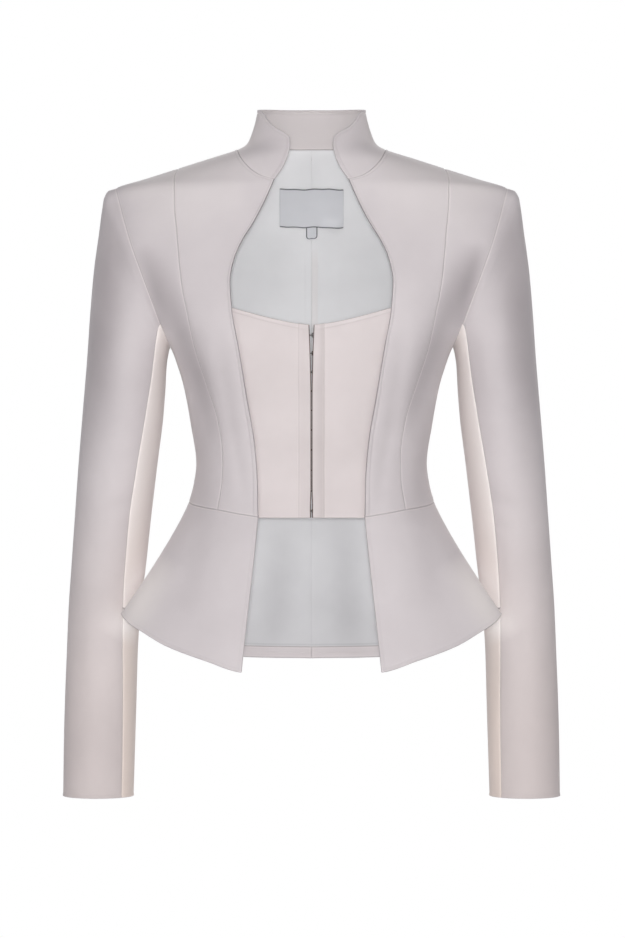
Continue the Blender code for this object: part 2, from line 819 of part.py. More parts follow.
def sleeve_grid():
    """Rings of points from the armhole to the cuff, each starting at the armpit side."""
    loop = [body_point(*place) for place in armhole_loop()]
    armpit = loop[0]
    tip = loop[ARMHOLE_CELLS]
    bases = []
    for i, point in enumerate(loop):
        share = (point.z - armpit.z) / (tip.z - armpit.z)
        angle = math.acos(1 - 2 * min(max(share, 0.0), 1.0))
        bases.append(angle if i <= ARMHOLE_CELLS else -angle)
    base_front = bases[FRONT_SEAM_CELL]
    base_back = -bases[len(loop) - BACK_SEAM_CELL]
    rings = [loop]
    for row in SLEEVE:
        ring = []
        for base, armhole_point in zip(bases, loop):
            front = math.radians(row.front_seam)
            back = math.radians(row.back_seam)
            angle = ring_angle(base, base_front, base_back, front, back)
            along = (1 - math.cos(angle)) / 2
            depth = mix(armhole_point.y, -row.half_depth * math.sin(angle), row.blend)
            x = mix(row.inner_x, row.outer_x, along)
            z = mix(row.inner_z, row.outer_z, along)
            ring.append(Vector((x, row.middle + depth, z)))
        rings.append(ring)
    return rings


def ring_normals(rings):
    """Outward directions on a closed tube that runs downwards."""
    count = len(rings[0])
    last = len(rings) - 1
    found = []
    for j, ring in enumerate(rings):
        row = []
        for i in range(count):
            along = ring[(i + 1) % count] - ring[i - 1]
            upward = rings[max(j - 1, 0)][i] - rings[min(j + 1, last)][i]
            row.append(along.cross(upward).normalized())
        found.append(row)
    return found


def make_sleeves(collection):
    """The top sleeve runs over the outside of the arm, the under sleeve beside the body."""
    rings = sleeve_grid()
    normals = ring_normals(rings)
    count = len(rings[0])
    last_under = FRONT_SEAM_CELL
    first_under = count - BACK_SEAM_CELL
    top = list(range(last_under, first_under + 1))
    under = list(range(first_under, count)) + list(range(last_under + 1))
    for name, columns in (("sleeve_top", top), ("sleeve_under", under)):
        points = [[ring[i] for i in columns] for ring in reversed(rings)]
        directions = [[row[i] for i in columns] for row in reversed(normals)]
        cloth_pair(name, (points, directions), SHELL_WALL, SHELL, collection)


def back_lining_face():
    """The lining's own inner facets across the centre back, to lay labels on."""
    inset = SHELL_WALL + LINING_GAP + LINING_WALL
    right, _ = moved_in(body_sheet(back_centre_rows()), inset)
    left = [[point * Vector((-1, 1, 1)) for point in row] for row in right]
    columns = len(right[0])
    points = [point for grid in (right, left) for row in grid for point in row]
    facets = []
    for j in range(2 * len(right) - 1):
        if j == len(right) - 1:
            continue
        for i in range(columns - 1):
            a = j * columns + i
            facets += [(a, a + 1, a + columns + 1), (a, a + columns + 1, a + columns)]
    return BVHTree.FromPolygons(points, facets)


def make_labels(collection):
    face = back_lining_face()
    areas = (
        ("label_main", -LABEL_HALF_WIDTH, LABEL_HALF_WIDTH, LABEL_BOTTOM, LABEL_TOP),
        ("label_size", TAB_LEFT, TAB_RIGHT, TAB_BOTTOM, TAB_TOP),
    )
    for name, left, right, bottom, top in areas:
        points = []
        for j in range(LABEL_ROWS + 1):
            height = mix(bottom, top, j / LABEL_ROWS)
            across = [mix(right, left, i / LABEL_COLUMNS) + OFF_SEAM for i in range(LABEL_COLUMNS + 1)]
            hits = [face.ray_cast(Vector((x, 0, height)), Vector((0, 1, 0)))[0] for x in across]
            points.append(hits)
        outward = Vector((0, 1, 0))
        sheet = (points, [[outward] * len(row) for row in points])
        cloth_piece(name, sheet, LINING_WALL, LABEL, collection, LABEL_GAP)


def closure_frame(height):
    """A point inside the closure and the directions across, along and into the jacket there."""
    outward = normal_of(body_point, (0.0, height))
    across = Vector((1, 0, 0))
    along = outward.cross(across).normalized()
    if along.z < 0:
        along = -along
    inside = SHELL_WALL + BODICE_GAP + BODICE_WALL
    return body_point(0.0, height) - outward * inside, across, along, -outward


def hook_path():
    """A wire along the left band that crosses the gap and curls back round the eye's bar."""
    path = [(-HOOK_REACH, 0.0, WIRE_SEAT)]
    middle = WIRE_SEAT + CURL_RADIUS
    for i in range(CURL_POINTS + 1):
        turn = -QUARTER_TURN + HALF_TURN * i / CURL_POINTS
        across = CURL_CENTRE + CURL_RADIUS * math.cos(turn)
        path.append((across, 0.0, middle + CURL_RADIUS * math.sin(turn)))
    path.append((HOOK_TIP, 0.0, WIRE_SEAT + 2 * CURL_RADIUS))
    return path


def eye_path():
    """A wire loop from the right band whose bar lies in the hook."""
    middle = WIRE_SEAT + CURL_RADIUS
    bar_end = EYE_HALF_HEIGHT - EYE_CORNER
    half = [
        (HOOK_REACH, EYE_HALF_HEIGHT, WIRE_SEAT),
        (EYE_BAR + EYE_CORNER, EYE_HALF_HEIGHT, middle),
        (EYE_BAR, bar_end, middle),
    ]
    return half + [(across, -along, depth) for across, along, depth in reversed(half)]


def wire_piece(name, path, height, collection):
    """A round wire along a path in the closure's frame, as a closed mesh."""
    start, across, along, inward = closure_frame(height)
    curve = bpy.data.curves.new(name, "CURVE")
    curve.dimensions = "3D"
    curve.bevel_depth = WIRE_RADIUS * MM
    curve.bevel_resolution = WIRE_SIDES
    curve.use_fill_caps = True
    spline = curve.splines.new("POLY")
    spline.points.add(len(path) - 1)
    for point, (x, up, depth) in zip(spline.points, path):
        place = (start + across * x + along * up + inward * depth) * MM
        point.co = (*place, 1)
    wire = bpy.data.objects.new(name, curve)
    curve.materials.append(new_material(METAL._replace(name=name + "_" + METAL.name)))
    collection.objects.link(wire)
    return wire


def make_closure(collection):
    for i in range(HOOK_COUNT):
        height = mix(HOOK_TOP, HOOK_BOTTOM, i / (HOOK_COUNT - 1))
        wire_piece(f"hook_{i + 1:02d}", hook_path(), height, collection)
        wire_piece(f"eye_{i + 1:02d}", eye_path(), height, collection)


def clear_scene():
    for thing in list(bpy.data.objects):
        bpy.data.objects.remove(thing, do_unlink=True)


def main():
    clear_scene()
    collection = bpy.data.collections.new("peplum_jacket")
    bpy.context.scene.collection.children.link(collection)
    make_collar(collection)
    make_body_panels(collection)
    make_back_lining(collection)
    make_peplum(collection)
    make_bodice(collection)
    make_sleeves(collection)
    make_labels(collection)
    make_closure(collection)


main()
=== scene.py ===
"""The looks of the fitted peplum jacket: fine cloth shells on the same form as its solids.

Lengths in the tables are millimetres in the part's own frame. The jacket's front faces -Y.
"""

import math
from collections import namedtuple

import bpy
import numpy as np
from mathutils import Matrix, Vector


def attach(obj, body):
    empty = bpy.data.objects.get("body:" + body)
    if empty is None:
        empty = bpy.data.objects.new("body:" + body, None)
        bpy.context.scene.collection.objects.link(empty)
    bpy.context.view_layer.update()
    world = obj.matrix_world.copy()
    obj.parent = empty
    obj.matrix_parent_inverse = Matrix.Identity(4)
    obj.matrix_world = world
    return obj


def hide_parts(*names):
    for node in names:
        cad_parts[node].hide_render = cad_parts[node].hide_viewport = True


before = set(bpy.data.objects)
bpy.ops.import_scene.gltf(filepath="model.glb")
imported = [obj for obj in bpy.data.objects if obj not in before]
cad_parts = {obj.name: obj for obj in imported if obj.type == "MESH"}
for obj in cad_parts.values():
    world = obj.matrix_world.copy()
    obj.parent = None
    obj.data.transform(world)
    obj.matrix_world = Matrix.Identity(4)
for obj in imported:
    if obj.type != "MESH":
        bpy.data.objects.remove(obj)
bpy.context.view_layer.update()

MM = 0.001
TINY = 1e-9
GAMMA = 2.2
HALF_TURN = math.pi
QUARTER_TURN = math.pi / 2

# Seams: how many cells of the pattern lie along each, and where they meet
SIDE_CELLS = 8
ARMHOLE_CELLS = 12
RING_CELLS = 2 * ARMHOLE_CELLS
EDGE_CELLS = 15
NECK_CELLS = SIDE_CELLS + ARMHOLE_CELLS - EDGE_CELLS
PANEL_CELLS = SIDE_CELLS + ARMHOLE_CELLS
CELL_LENGTH = 22.0
SHOULDER_TIP = -39.0
PRINCESS_TOP = -19.0
PRINCESS_TURN = -75.0
NECK_SIDE = 0.0
NECK_BACK = 5.0
NECK_FRONT = -34.7
ARMPIT = -201.0
SEAM_SAMPLES = 600

# The body form: height, half width, depth in front, depth behind, and the power of its outline
BODY = (
    (47, 54.0, 49, 52, 2.00),
    (37, 55.5, 50, 54, 2.00),
    (26, 58.0, 53, 56, 2.00),
    (15, 61.5, 57, 58, 2.00),
    (8, 64.5, 60, 60, 1.95),
    (4, 68.0, 62, 61, 1.88),
    (0, 76.0, 63, 62, 1.78),
    (-9, 104.5, 66, 66, 1.62),
    (-19, 136.0, 69, 71, 1.58),
    (-30, 170.7, 73, 77, 1.62),
    (-39, 199.0, 77, 82, 1.68),
    (-45, 204.5, 79, 85, 1.75),
    (-58, 209.0, 83, 91, 1.87),
    (-75, 213.0, 89, 97, 2.00),
    (-98, 214.0, 97, 103, 2.10),
    (-124, 206.0, 106, 107, 2.20),
    (-152, 184.0, 115, 109, 2.35),
    (-184, 157.0, 122, 107, 2.50),
    (-201, 144.0, 124, 105, 2.50),
    (-220, 136.5, 123, 100, 2.45),
    (-242, 130.0, 119, 92, 2.40),
    (-280, 123.0, 107, 78, 2.30),
    (-320, 117.5, 96, 69, 2.20),
    (-340, 120.0, 94.5, 69, 2.20),
    (-360, 125.5, 97, 72, 2.20),
    (-376, 131.0, 100, 76, 2.20),
)

# Seams as (height, distance from the centre line)
FRONT_EDGE = (
    (-34.7, 37.6), (-54, 46.0), (-78, 58.0), (-96, 69.0), (-115, 77.2), (-137, 81.2),
    (-165, 79.5), (-206, 72.5), (-254, 64.8), (-297, 57.6), (-335, 54.4), (-373, 53.6),
)
PRINCESS = (
    (-19, 136.0), (-31, 138.5), (-60, 138.0), (-84, 135.5), (-122, 132.0), (-146, 129.0), (-168, 124.5),
    (-204, 117.0), (-243, 104.5), (-277, 94.0), (-312, 89.5), (-335, 90.0), (-366, 94.5),
)
BACK_PRINCESS = (
    (-19, 136.0), (-40, 137.0), (-80, 131.0), (-124, 120.0), (-168, 106.0),
    (-204, 94.0), (-243, 82.0), (-280, 73.0), (-320, 69.0), (-360, 74.0),
)
ARMHOLE = (
    (-39, 199.0), (-70, 190.5), (-98, 182.0), (-124, 172.5), (-152, 162.0), (-184, 150.5), (-201, 144.0),
)
COLLAR_END = ((9.5, 22.6), (0, 22.0), (-8, 23.5), (-20, 28.0), (-34.7, 37.6))

# Edges that run across, as (distance from the centre line, height)
NECK_SEAM = (
    (37.6, -34.7), (44.0, -33.0), (50.3, -31.0), (59.0, -25.5), (67.4, -17.0), (72.8, -8.5), (76.0, 0.0),
)
BODICE_TOP = ((0, -182.5), (20, -179.5), (44, -174.0), (76, -165.0), (100, -157.0), (126, -149.0))

# Edges that run round, as (degrees from the centre front, height)
COLLAR_TOP = (
    (18.7, 9.5), (25.5, 14.5), (38, 20.5), (51, 28.5), (63.5, 36.5), (90, 41.0), (135, 44.2), (180, 45.2),
)
HEM = (
    (0, -530), (19, -526), (31, -515), (46, -502), (64, -485),
    (90, -472), (116, -491), (140, -512), (160, -521.5), (180, -523),
)
CLOSURE = (
    (-182.5, 2.6), (-205, 1.7), (-228, 1.05), (-252, 0.6), (-345, 0.6), (-362, 1.2), (-373, 1.0),
)

WAIST_FRONT = -373.0
WAIST_PRINCESS = -366.0
WAIST_SIDE = -358.0
WAIST_BACK_PRINCESS = -360.0
WAIST_BACK = -361.0
HEM_WIDTH = 193.0
HEM_FRONT = 138.0
HEM_BACK = 116.0
HEM_SIDE_SHIFT = -20.0
HEM_FRONT_POWER = 2.2
HEM_BACK_POWER = 1.6
HEM_FRONT_EDGE = 69.4
FLARE_POWER = 1.15
HEM_FACING_DEPTH = 12.5
BAND_EDGE = 12.9

# The sleeve's rings: outer x and z, inner x and z, middle and half depth, how far each has left the
# armhole's shape, and the angles of its front and back seams from underneath
SLEEVE = (
    (207.5, -41.7, 144.8, -203, 0, 62.0, 0.03, 43, 73),
    (211.3, -48.0, 145.5, -205.5, 0, 62.5, 0.10, 43, 73),
    (213.8, -62, 146.1, -208.5, 1, 63.5, 0.25, 43, 74),
    (217.0, -86, 146.8, -212, 2, 64.5, 0.45, 43, 75),
    (222.0, -122, 147.6, -217, 4, 65.0, 0.70, 43, 76),
    (226.0, -166, 148.4, -226, 7, 64.0, 0.90, 44, 78),
    (229.5, -214, 149.3, -242, 11, 62.0, 1.00, 47, 80),
    (234.0, -264, 151.8, -272, 17, 59.0, 1.00, 52, 84),
    (239.2, -322, 158.6, -324, 26, 56.0, 1.00, 57, 88),
    (243.6, -378, 165.4, -379, 35, 53.0, 1.00, 61, 90),
    (247.2, -425, 170.7, -426, 41, 50.5, 1.00, 60, 90),
    (250.3, -470, 176.2, -470, 43, 48.5, 1.00, 55, 88),
    (252.0, -515, 179.0, -515, 41, 47.0, 1.00, 51, 85),
    (253.5, -560, 180.0, -560, 36, 45.5, 1.00, 48, 82),
    (254.4, -610, 181.2, -610, 29, 44.0, 1.00, 46, 79),
    (254.6, -660, 182.5, -660, 22, 42.5, 1.00, 45, 77),
)
FRONT_SEAM_CELL = 3
BACK_SEAM_CELL = 5

# Soft troughs (negative rise) and ridges (positive) that run straight from one point to another in a
# front view. Side is -1 on the jacket's front and 1 on its back. Shade is painted shade along the line,
# and a negative shade is a painted highlight.
Crease = namedtuple("Crease", "side x1 z1 x2 z2 width rise shade", defaults=[0.0])
CREASES = [Crease(*row) for row in (
    # hollow between the armhole and the bust, with painted shade
    (-1, -161, -98, -92, -300, 12, -4.4, 0.17), (-1, 160, -96, 91, -296, 12, -4.2, 0.21),
    (-1, -172, -98, -145, -188, 9, -2.2, 0.20), (-1, 171, -96, 144, -184, 9, -2.1, 0.31),
    (-1, -122, -170, -96, -310, 9, -1.6), (-1, 121, -172, 95, -306, 9, -1.5),
    # painted shade beside the lower princess seams
    (-1, -114, -250, -106, -385, 13, 0, 0.15), (-1, 114, -250, 106, -385, 13, 0, 0.19),
    # bust
    (-1, -100, -120, -104, -225, 26, 2.4), (-1, 101, -118, 104, -228, 27, 2.3),
    # hollow below the collar
    (-1, -64, -14, -52, -80, 11, -2.4), (-1, 65, -12, 52, -84, 11, -2.3),
    # the front panel: a ridge from the bust to the waist, and a hollow between it and the edge
    (-1, -108, -176, -76, -376, 7, 1.7), (-1, 107, -180, 76, -376, 7, 1.6),
    (-1, -95, -176, -61, -382, 6, -1.1), (-1, 95, -172, 61, -382, 6, -1.1),
    # painted shade low on the front panels
    (-1, -90, -180, -78, -372, 13, 0, 0.06), (-1, 90, -184, 78, -370, 13, 0, 0.06),
    # painted highlights on the shoulders' upper edges and slopes
    (-1, -225, -50, -50, 12, 17, 0, -0.45), (-1, 225, -50, 50, 12, 17, 0, -0.45),
    (-1, -210, -78, -20, -20, 34, 0, -0.20), (-1, 210, -78, 20, -20, 34, 0, -0.22),
    # peplum flutes, front
    (-1, -106, -330, -124, -472, 13, -1.9), (-1, 107, -332, 126, -468, 14, -1.8),
    (-1, -84, -378, -92, -530, 14, 1.2), (-1, 85, -376, 94, -530, 15, 1.1),
    (-1, -146, -392, -170, -500, 17, 0.9), (-1, 146, -394, 171, -502, 17, 1.0),
    # painted highlights on the peplum's tips
    (-1, -148, -410, -198, -500, 18, 0, -0.85), (-1, 148, -410, 199, -500, 18, 0, -0.85),
    # peplum flutes, back
    (1, -96, -364, -120, -500, 14, -3.5), (1, 98, -364, 118, -504, 14, -3.8),
    (1, -30, -366, -38, -524, 15, -2.6), (1, 34, -366, 41, -524, 15, -2.8),
    (1, -64, -380, -78, -520, 13, 2.2), (1, 66, -384, 76, -520, 13, 2.0),
    # back: drag from the shoulder blades to the armholes, and at the waist
    (1, -150, -150, -92, -196, 12, -2.6), (1, 149, -154, 90, -192, 12, -2.5),
    (1, -126, -208, -70, -262, 11, -1.7), (1, 124, -212, 72, -258, 11, -1.9),
    (1, -112, -318, -50, -330, 8, -1.3), (1, 110, -322, 46, -327, 8, -1.2),
    (1, -104, -340, -60, -346, 6, -1.0),
    # sleeve heads and upper sleeves, with painted shade down their outer sides
    (-1, -194, -8, -226, -330, 22, 0, 0.34), (-1, 194, -8, 226, -334, 22, 0, 0.34),
    (-1, -205, -70, -176, -150, 9, -1.2), (-1, 205, -68, 176, -152, 9, -1.1),
    (-1, -200, -120, -188, -330, 13, 0.8), (-1, 201, -122, 189, -326, 13, 0.8),
    (1, -204, -80, -170, -170, 11, -1.3), (1, 203, -84, 171, -166, 11, -1.2),
    (1, -186, -150, -160, -214, 9, -1.2), (1, 187, -154, 160, -212, 9, -1.3),
    # elbows
    (-1, -172, -352, -214, -366, 7, -1.1), (-1, 173, -350, 212, -362, 7, -1.0),
    (-1, -176, -378, -205, -386, 6, -0.7), (-1, 177, -380, 207, -384, 6, -0.8),
    (1, -182, -356, -232, -372, 8, -1.2), (1, 183, -358, 231, -370, 8, -1.1),
    (1, -188, -392, -228, -398, 7, -0.9), (1, 189, -390, 229, -400, 7, -0.9),
    # long soft lines down the lower sleeves
    (-1, -226, -430, -228, -640, 10, 0.6), (-1, 227, -428, 229, -644, 10, 0.6),
    (1, -214, -420, -222, -630, 12, -0.9), (1, 215, -424, 221, -636, 12, -0.8),
)]

# A value that goes softly from first, at low, to last, at high
Fade = namedtuple("Fade", "low high first last")

# Cloth: walls and gaps
SHELL_WALL = 1.5
EDGE_WALL = 2.6
EDGE_WIDTH = 3.2
SHELL_INSET = 2.0
BODICE_WALL = 1.3
BODICE_GAP = 0.9
LINING_WALL = 0.7
LINING_GAP = 0.35
HALF_GAP = 0.05
TUCKED_GAP = -0.3
BAND_EDGE_GAP = 0.1
EDGE_BULGE = 0.5
TRIM_REACH = 8.0
LAST_DROP = 0.995

# Cloth: grooves, creases, rolls and pleats
GROOVE_DEPTH = 0.55
GROOVE_WIDTH = 0.65
SOFT_DEPTH = 0.14
SOFT_WIDTH = 2.4
LEVEL_SHARE = 0.35
CREASE_FADE = 0.8
CREASE_TURN = (4.0, 24.0)
SLEEVE_TURN = 40.0
SLEEVE_FACING = (0.05, 0.4)
ROLL_RISE = 0.4
ROLL_WIDTH = 2.2
ROLL_GROOVE = 3.5
ROLL_GROOVE_WIDTH = 0.75
FRONT_ROLL = Fade(-340, -180, 4.0, 2.5)
BODICE_ROLL = 4.0
BAND_ROLL = 4.8
LINING_ROLL = 2.2
COLLAR_STITCHES = (2.3, 4.6)
STITCH_DEPTH = 0.35
STITCH_WIDTH = 0.5
PLEAT_TOP = -88.0
PLEAT_FADE = 25.0
PLEAT_HALF_WIDTH = 6.4
PLEAT_BEND = 0.8
PLEAT_RISE = 0.4

# Tones: shares of painted shade, warm tint and painted highlight, and the widths of painted lines
# Dark lines along seams, rolls, closure edges and rims are painted shade; the light line beside a seam is a
# painted highlight
SEAM_DARK = 0.34
SEAM_LINE = 0.5
HIGHLIGHT_SHARE = 0.2
HIGHLIGHT_OFFSET = 1.2
HIGHLIGHT_WIDTH = 0.42
ROLL_DARK = 0.16
ROLL_LINE = 0.6
LINED_DARK = 0.9
LINED_LINE = 0.35
RIM_DARK = 0.2
HOLLOW_SHADE = 0.04
COLLAR_TURN = (-45, 0)
COLLAR_HIGHLIGHT = Fade(10, 50, 0.48, 0.05)
COLLAR_FRONT_SHADE = Fade(-30, -50, 0.0, 0.03)
COLLAR_INSIDE_LIGHT = Fade(10, 50, 0.0, 0.23)
BAND_SHADE = Fade(5.5, 6.5, 0.0, 0.10)
BAND_DARK = 0.04
LINING_SHADE = 0.06
LINING_SHADE_ACROSS = (8.0, 44.0)
LINING_SHADE_UP = (-170, -130)
PLEAT_WARM = 0.3
PEPLUM_LINING_SHADE = Fade(0, 90, 0.38, 0.285)
FACING_LIGHT = 0.05
SLEEVE_SHADE = Fade(-480, -640, 0.03, 0.09)
SLEEVE_WARM = Fade(-250, -620, 0.0, 0.2)
UNDERSLEEVE_WARM = 0.6
UNDERSLEEVE_LIGHT = Fade(-330, -560, 1.0, 0.45)
THREAD_SHARE = 0.35

# How far apart a sheet's points lie, and rough sizes of sheets that say how many it gets
ROW_STEP = 0.2
CORNER_ROOM = 0.4 * ROW_STEP
COLUMN_STEP = 3.6
COLLAR_STEP = 2.6
FINE_STEP = 2.4
EDGE_OFFSETS = (0.3, 0.7, 1.2, 1.8, 2.5, 3.1, 3.6, 4.2, 5.2, 7.0)
NARROW_OFFSETS = EDGE_OFFSETS[:5]
COLLAR_HEIGHT = 60.0
COLLAR_HALF_LENGTH = 200.0
COLLAR_MIDDLE_ROOM = 3.0
PEPLUM_LENGTH = 160.0
PEPLUM_WIDTH = 150.0
BODICE_LENGTH = 190.0
BODICE_WIDTH = 85.0
BAND_WIDTH = 11.0
SLEEVE_TOP_WIDTH = 230.0
SLEEVE_UNDER_WIDTH = 110.0

# Hooks and eyes, in the closure's frame: across, along and into the jacket
HOOK_COUNT = 10
HOOK_TOP = -191.6
HOOK_BOTTOM = -365.9
WIRE_RADIUS = 0.42
CURL_RADIUS = 1.15
CURL_CENTRE = 0.6
WIRE_SEAT = 0.9
HOOK_REACH = 6.5
HOOK_TIP = -1.6
EYE_BAR = 0.55
EYE_HALF_HEIGHT = 1.9
EYE_CORNER = 0.65
EYE_RISE = 0.5
CURL_STEPS = 12
CORNER_STEPS = 6
WIRE_CLEARANCE = 0.2

# Labels
LABEL_WALL = 0.45
LABEL_GAP = 0.7
LABEL_COLUMNS = 66
LABEL_ROWS = 40
LABEL_HALF_WIDTH = 33.0
LABEL_TOP = -33.0
LABEL_BOTTOM = -72.0
LABEL_WAVES = ((0.35, 6.5, 0), (0.25, 2.9, 1))
LABEL_BOW = 0.35
LABEL_BOW_ACROSS = 9.0
LABEL_BOW_UP = 11.0
LABEL_PUCKER = 4.0
PUCKER_AT = 20.0
PUCKER_WIDTH = 11.0
PUCKER_HEIGHT = 7.0
TAB_LEFT = -5.2
TAB_RIGHT = 5.7
TAB_TOP = -72.6
TAB_BOTTOM = -84.0
TAB_CORNER = 3.0

# Picture
Light = namedtuple("Light", "name place target size power")
LIGHTS = (
    Light("front", (0.0, -4.1, -0.30), (0, 0, -0.31), (0.12, 0.12), 71),
    Light("key", (0.0, -2.6, 1.9), (0, 0, -0.30), (1.4, 0.9), 18),
    Light("left", (-3.4, -2.0, 0.0), (0, 0, -0.30), (1.0, 1.4), 12),
    Light("right", (3.4, -2.0, 0.0), (0, 0, -0.30), (1.0, 1.4), 12),
    Light("behind", (0.0, 3.4, 1.0), (0, 0, -0.30), (2.0, 1.4), 84),
)
SURROUNDING_LIGHT = (0.965, 0.94, 0.99, 1)
SURROUNDING_STRENGTH = 0.25
WHITE = (1, 1, 1, 1)
FLOOR = -1.0
FLOOR_CORNERS = ((-4, -4), (4, -4), (4, 1.6), (-4, 1.6))
CAMERA_PLACE = (0.001, -4.2, -0.3253)
CAMERA_LENS = 158.04
CAMERA_SENSOR = 36
CAMERA_REACH = 50


class SmoothTable:
    """A table's columns as smooth curves that pass through its rows and never overshoot."""

    def __init__(self, rows):
        rows = sorted(tuple(row) for row in rows)
        self.keys = np.array([row[0] for row in rows], float)
        self.values = np.array([row[1:] for row in rows], float)
        steps = np.diff(self.values, axis=0) / np.diff(self.keys)[:, None]
        before, after = steps[:-1], steps[1:]
        total = np.where(before + after == 0, 1, before + after)
        inner = np.where(before * after > 0, 2 * before * after / total, 0)
        self.slopes = np.vstack([steps[:1], inner, steps[-1:]])

    def __call__(self, at):
        at = np.clip(np.asarray(at, float), self.keys[0], self.keys[-1])
        i = np.clip(np.searchsorted(self.keys, at, side="right") - 1, 0, len(self.keys) - 2)
        span = (self.keys[i + 1] - self.keys[i])[..., None]
        t = (at - self.keys[i])[..., None] / span
        first = self.values[i] * (1 + 2 * t) + self.slopes[i] * span * t
        last = self.values[i + 1] * (3 - 2 * t) - self.slopes[i + 1] * span * (1 - t)
        return first * (1 - t) ** 2 + last * t * t


BODY_AT = SmoothTable(BODY)


def one_column(rows):
    table = SmoothTable(rows)
    return lambda at: table(at)[..., 0]


FRONT_EDGE_AT = one_column(FRONT_EDGE)
PRINCESS_AT = one_column(PRINCESS)
BACK_PRINCESS_AT = one_column(BACK_PRINCESS)
ARMHOLE_AT = one_column(ARMHOLE)
COLLAR_END_AT = one_column(COLLAR_END)
NECK_SEAM_AT = one_column(NECK_SEAM)
BODICE_TOP_AT = one_column(BODICE_TOP)
COLLAR_TOP_AT = one_column(COLLAR_TOP)
HEM_AT = one_column(HEM)
CLOSURE_AT = one_column(CLOSURE)


def mix(first, second, share):
    return first + (second - first) * share


def smooth_step(low, high, value):
    t = np.clip((value - low) / (high - low), 0, 1)
    return t * t * (3 - 2 * t)


def faded(fade, value):
    return mix(fade.first, fade.last, smooth_step(fade.low, fade.high, value))


def bell(distance, width):
    return np.exp(-((distance / width) ** 2))


def rounded(angle, power):
    """Signed sine and cosine shares. A power under 2 draws in only the sides."""
    sine = np.sin(angle)
    cosine = np.cos(angle)
    sideways = np.abs(sine) ** (2 / np.maximum(power, 2))
    forward = np.abs(cosine) ** (2 / power)
    return np.sign(sine) * sideways, np.sign(cosine) * forward


def body_point(angle, height):
    """Points of the body form, at angles from the centre front."""
    width, front, back, power = np.moveaxis(BODY_AT(height), -1, 0)
    sideways, forward = rounded(angle, power)
    depth = np.where(forward > 0, front, back)
    height = np.broadcast_to(height, sideways.shape)
    return np.stack([width * sideways, -depth * forward, height], axis=-1)


def angle_on_body(height, across, behind=False):
    width, _, _, power = np.moveaxis(BODY_AT(height), -1, 0)
    share = np.minimum(1, across / width)
    angle = np.arcsin(share ** (np.maximum(power, 2) / 2))
    return HALF_TURN - angle if behind else angle


class SeamLine:
    """A seam on the body form, followed by a running number of cells."""

    def __init__(self, *parts):
        numbers, places = [], []
        start = 0
        for cells, drawn in parts:
            points = body_point(drawn[:, 0], drawn[:, 1])
            steps = np.linalg.norm(np.diff(points, axis=0), axis=1)
            along = np.concatenate([[0], np.cumsum(steps)])
            numbers.append(start + cells * along / along[-1])
            places.append(drawn)
            start += cells
        self.cells = start
        self.numbers = np.concatenate(numbers)
        self.places = np.concatenate(places)

    def at(self, number):
        angle = np.interp(number, self.numbers, self.places[:, 0])
        height = np.interp(number, self.numbers, self.places[:, 1])
        return np.stack([angle, height], axis=-1)


def upright(across_at, bottom, top, behind=False):
    heights = np.linspace(bottom, top, SEAM_SAMPLES)
    return np.stack([angle_on_body(heights, across_at(heights), behind), heights], axis=-1)


def straight(first, second):
    return np.linspace(first, second, SEAM_SAMPLES)


def front_neck():
    across = np.linspace(NECK_SEAM[0][0], NECK_SEAM[-1][0], SEAM_SAMPLES)
    heights = NECK_SEAM_AT(across)
    drawn = np.stack([angle_on_body(heights, across), heights], axis=-1)
    drawn[-1] = (QUARTER_TURN, NECK_SIDE)
    return drawn


def back_neck():
    share = np.linspace(0, 1, SEAM_SAMPLES)
    angle = mix(HALF_TURN, QUARTER_TURN, share)
    return np.stack([angle, mix(NECK_BACK, NECK_SIDE, share * share)], axis=-1)


def princess_line(across_at, bottom, behind):
    return SeamLine(
        (EDGE_CELLS, upright(across_at, bottom, PRINCESS_TURN, behind)),
        (NECK_CELLS, upright(across_at, PRINCESS_TURN, PRINCESS_TOP, behind)),
    )


def side_line(behind):
    return SeamLine(
        (SIDE_CELLS, straight((QUARTER_TURN, WAIST_SIDE), (QUARTER_TURN, ARMPIT))),
        (ARMHOLE_CELLS, upright(ARMHOLE_AT, ARMPIT, SHOULDER_TIP, behind)),
    )


FRONT_LINE = SeamLine(
    (EDGE_CELLS, upright(FRONT_EDGE_AT, WAIST_FRONT, NECK_FRONT)), (NECK_CELLS, front_neck())
)
BACK_LINE = SeamLine(
    (EDGE_CELLS, straight((HALF_TURN, WAIST_BACK), (HALF_TURN, NECK_BACK))), (NECK_CELLS, back_neck())
)
PRINCESS_LINE = princess_line(PRINCESS_AT, WAIST_PRINCESS, False)
BACK_PRINCESS_LINE = princess_line(BACK_PRINCESS_AT, WAIST_BACK_PRINCESS, True)
SIDE_LINE = side_line(False)
BACK_SIDE_LINE = side_line(True)


def spaced(total, step=COLUMN_STEP, end_offsets=EDGE_OFFSETS):
    """Numbers from 0 to total: close together at both ends, evenly spaced between."""
    near = [0.0, *end_offsets]
    far = [total - offset for offset in reversed(near)]
    gap = far[0] - near[-1]
    count = max(2, round(gap / step))
    middle = [near[-1] + gap * i / count for i in range(1, count)]
    return np.array(near + middle + far)


def panel_places(inner, outer):
    """Places between two seams, rows along them and columns across."""
    rows = spaced(PANEL_CELLS, ROW_STEP, [offset / CELL_LENGTH for offset in EDGE_OFFSETS])
    for corner in (SIDE_CELLS, EDGE_CELLS):
        rows = np.append(rows[np.abs(rows - corner) > CORNER_ROOM], corner)
    rows = np.sort(rows)
    start = inner.at(rows)
    end = outer.at(rows)
    width = np.linalg.norm(body_point(*start.T) - body_point(*end.T), axis=1).mean()
    shares = spaced(width) / width
    return mix(start[:, None], end[:, None], shares[None, :, None])


def unit(vectors):
    return vectors / np.maximum(np.linalg.norm(vectors, axis=-1, keepdims=True), TINY)


EDGES = "sebt"
OTHER_EDGE = {"s": "e", "e": "s"}


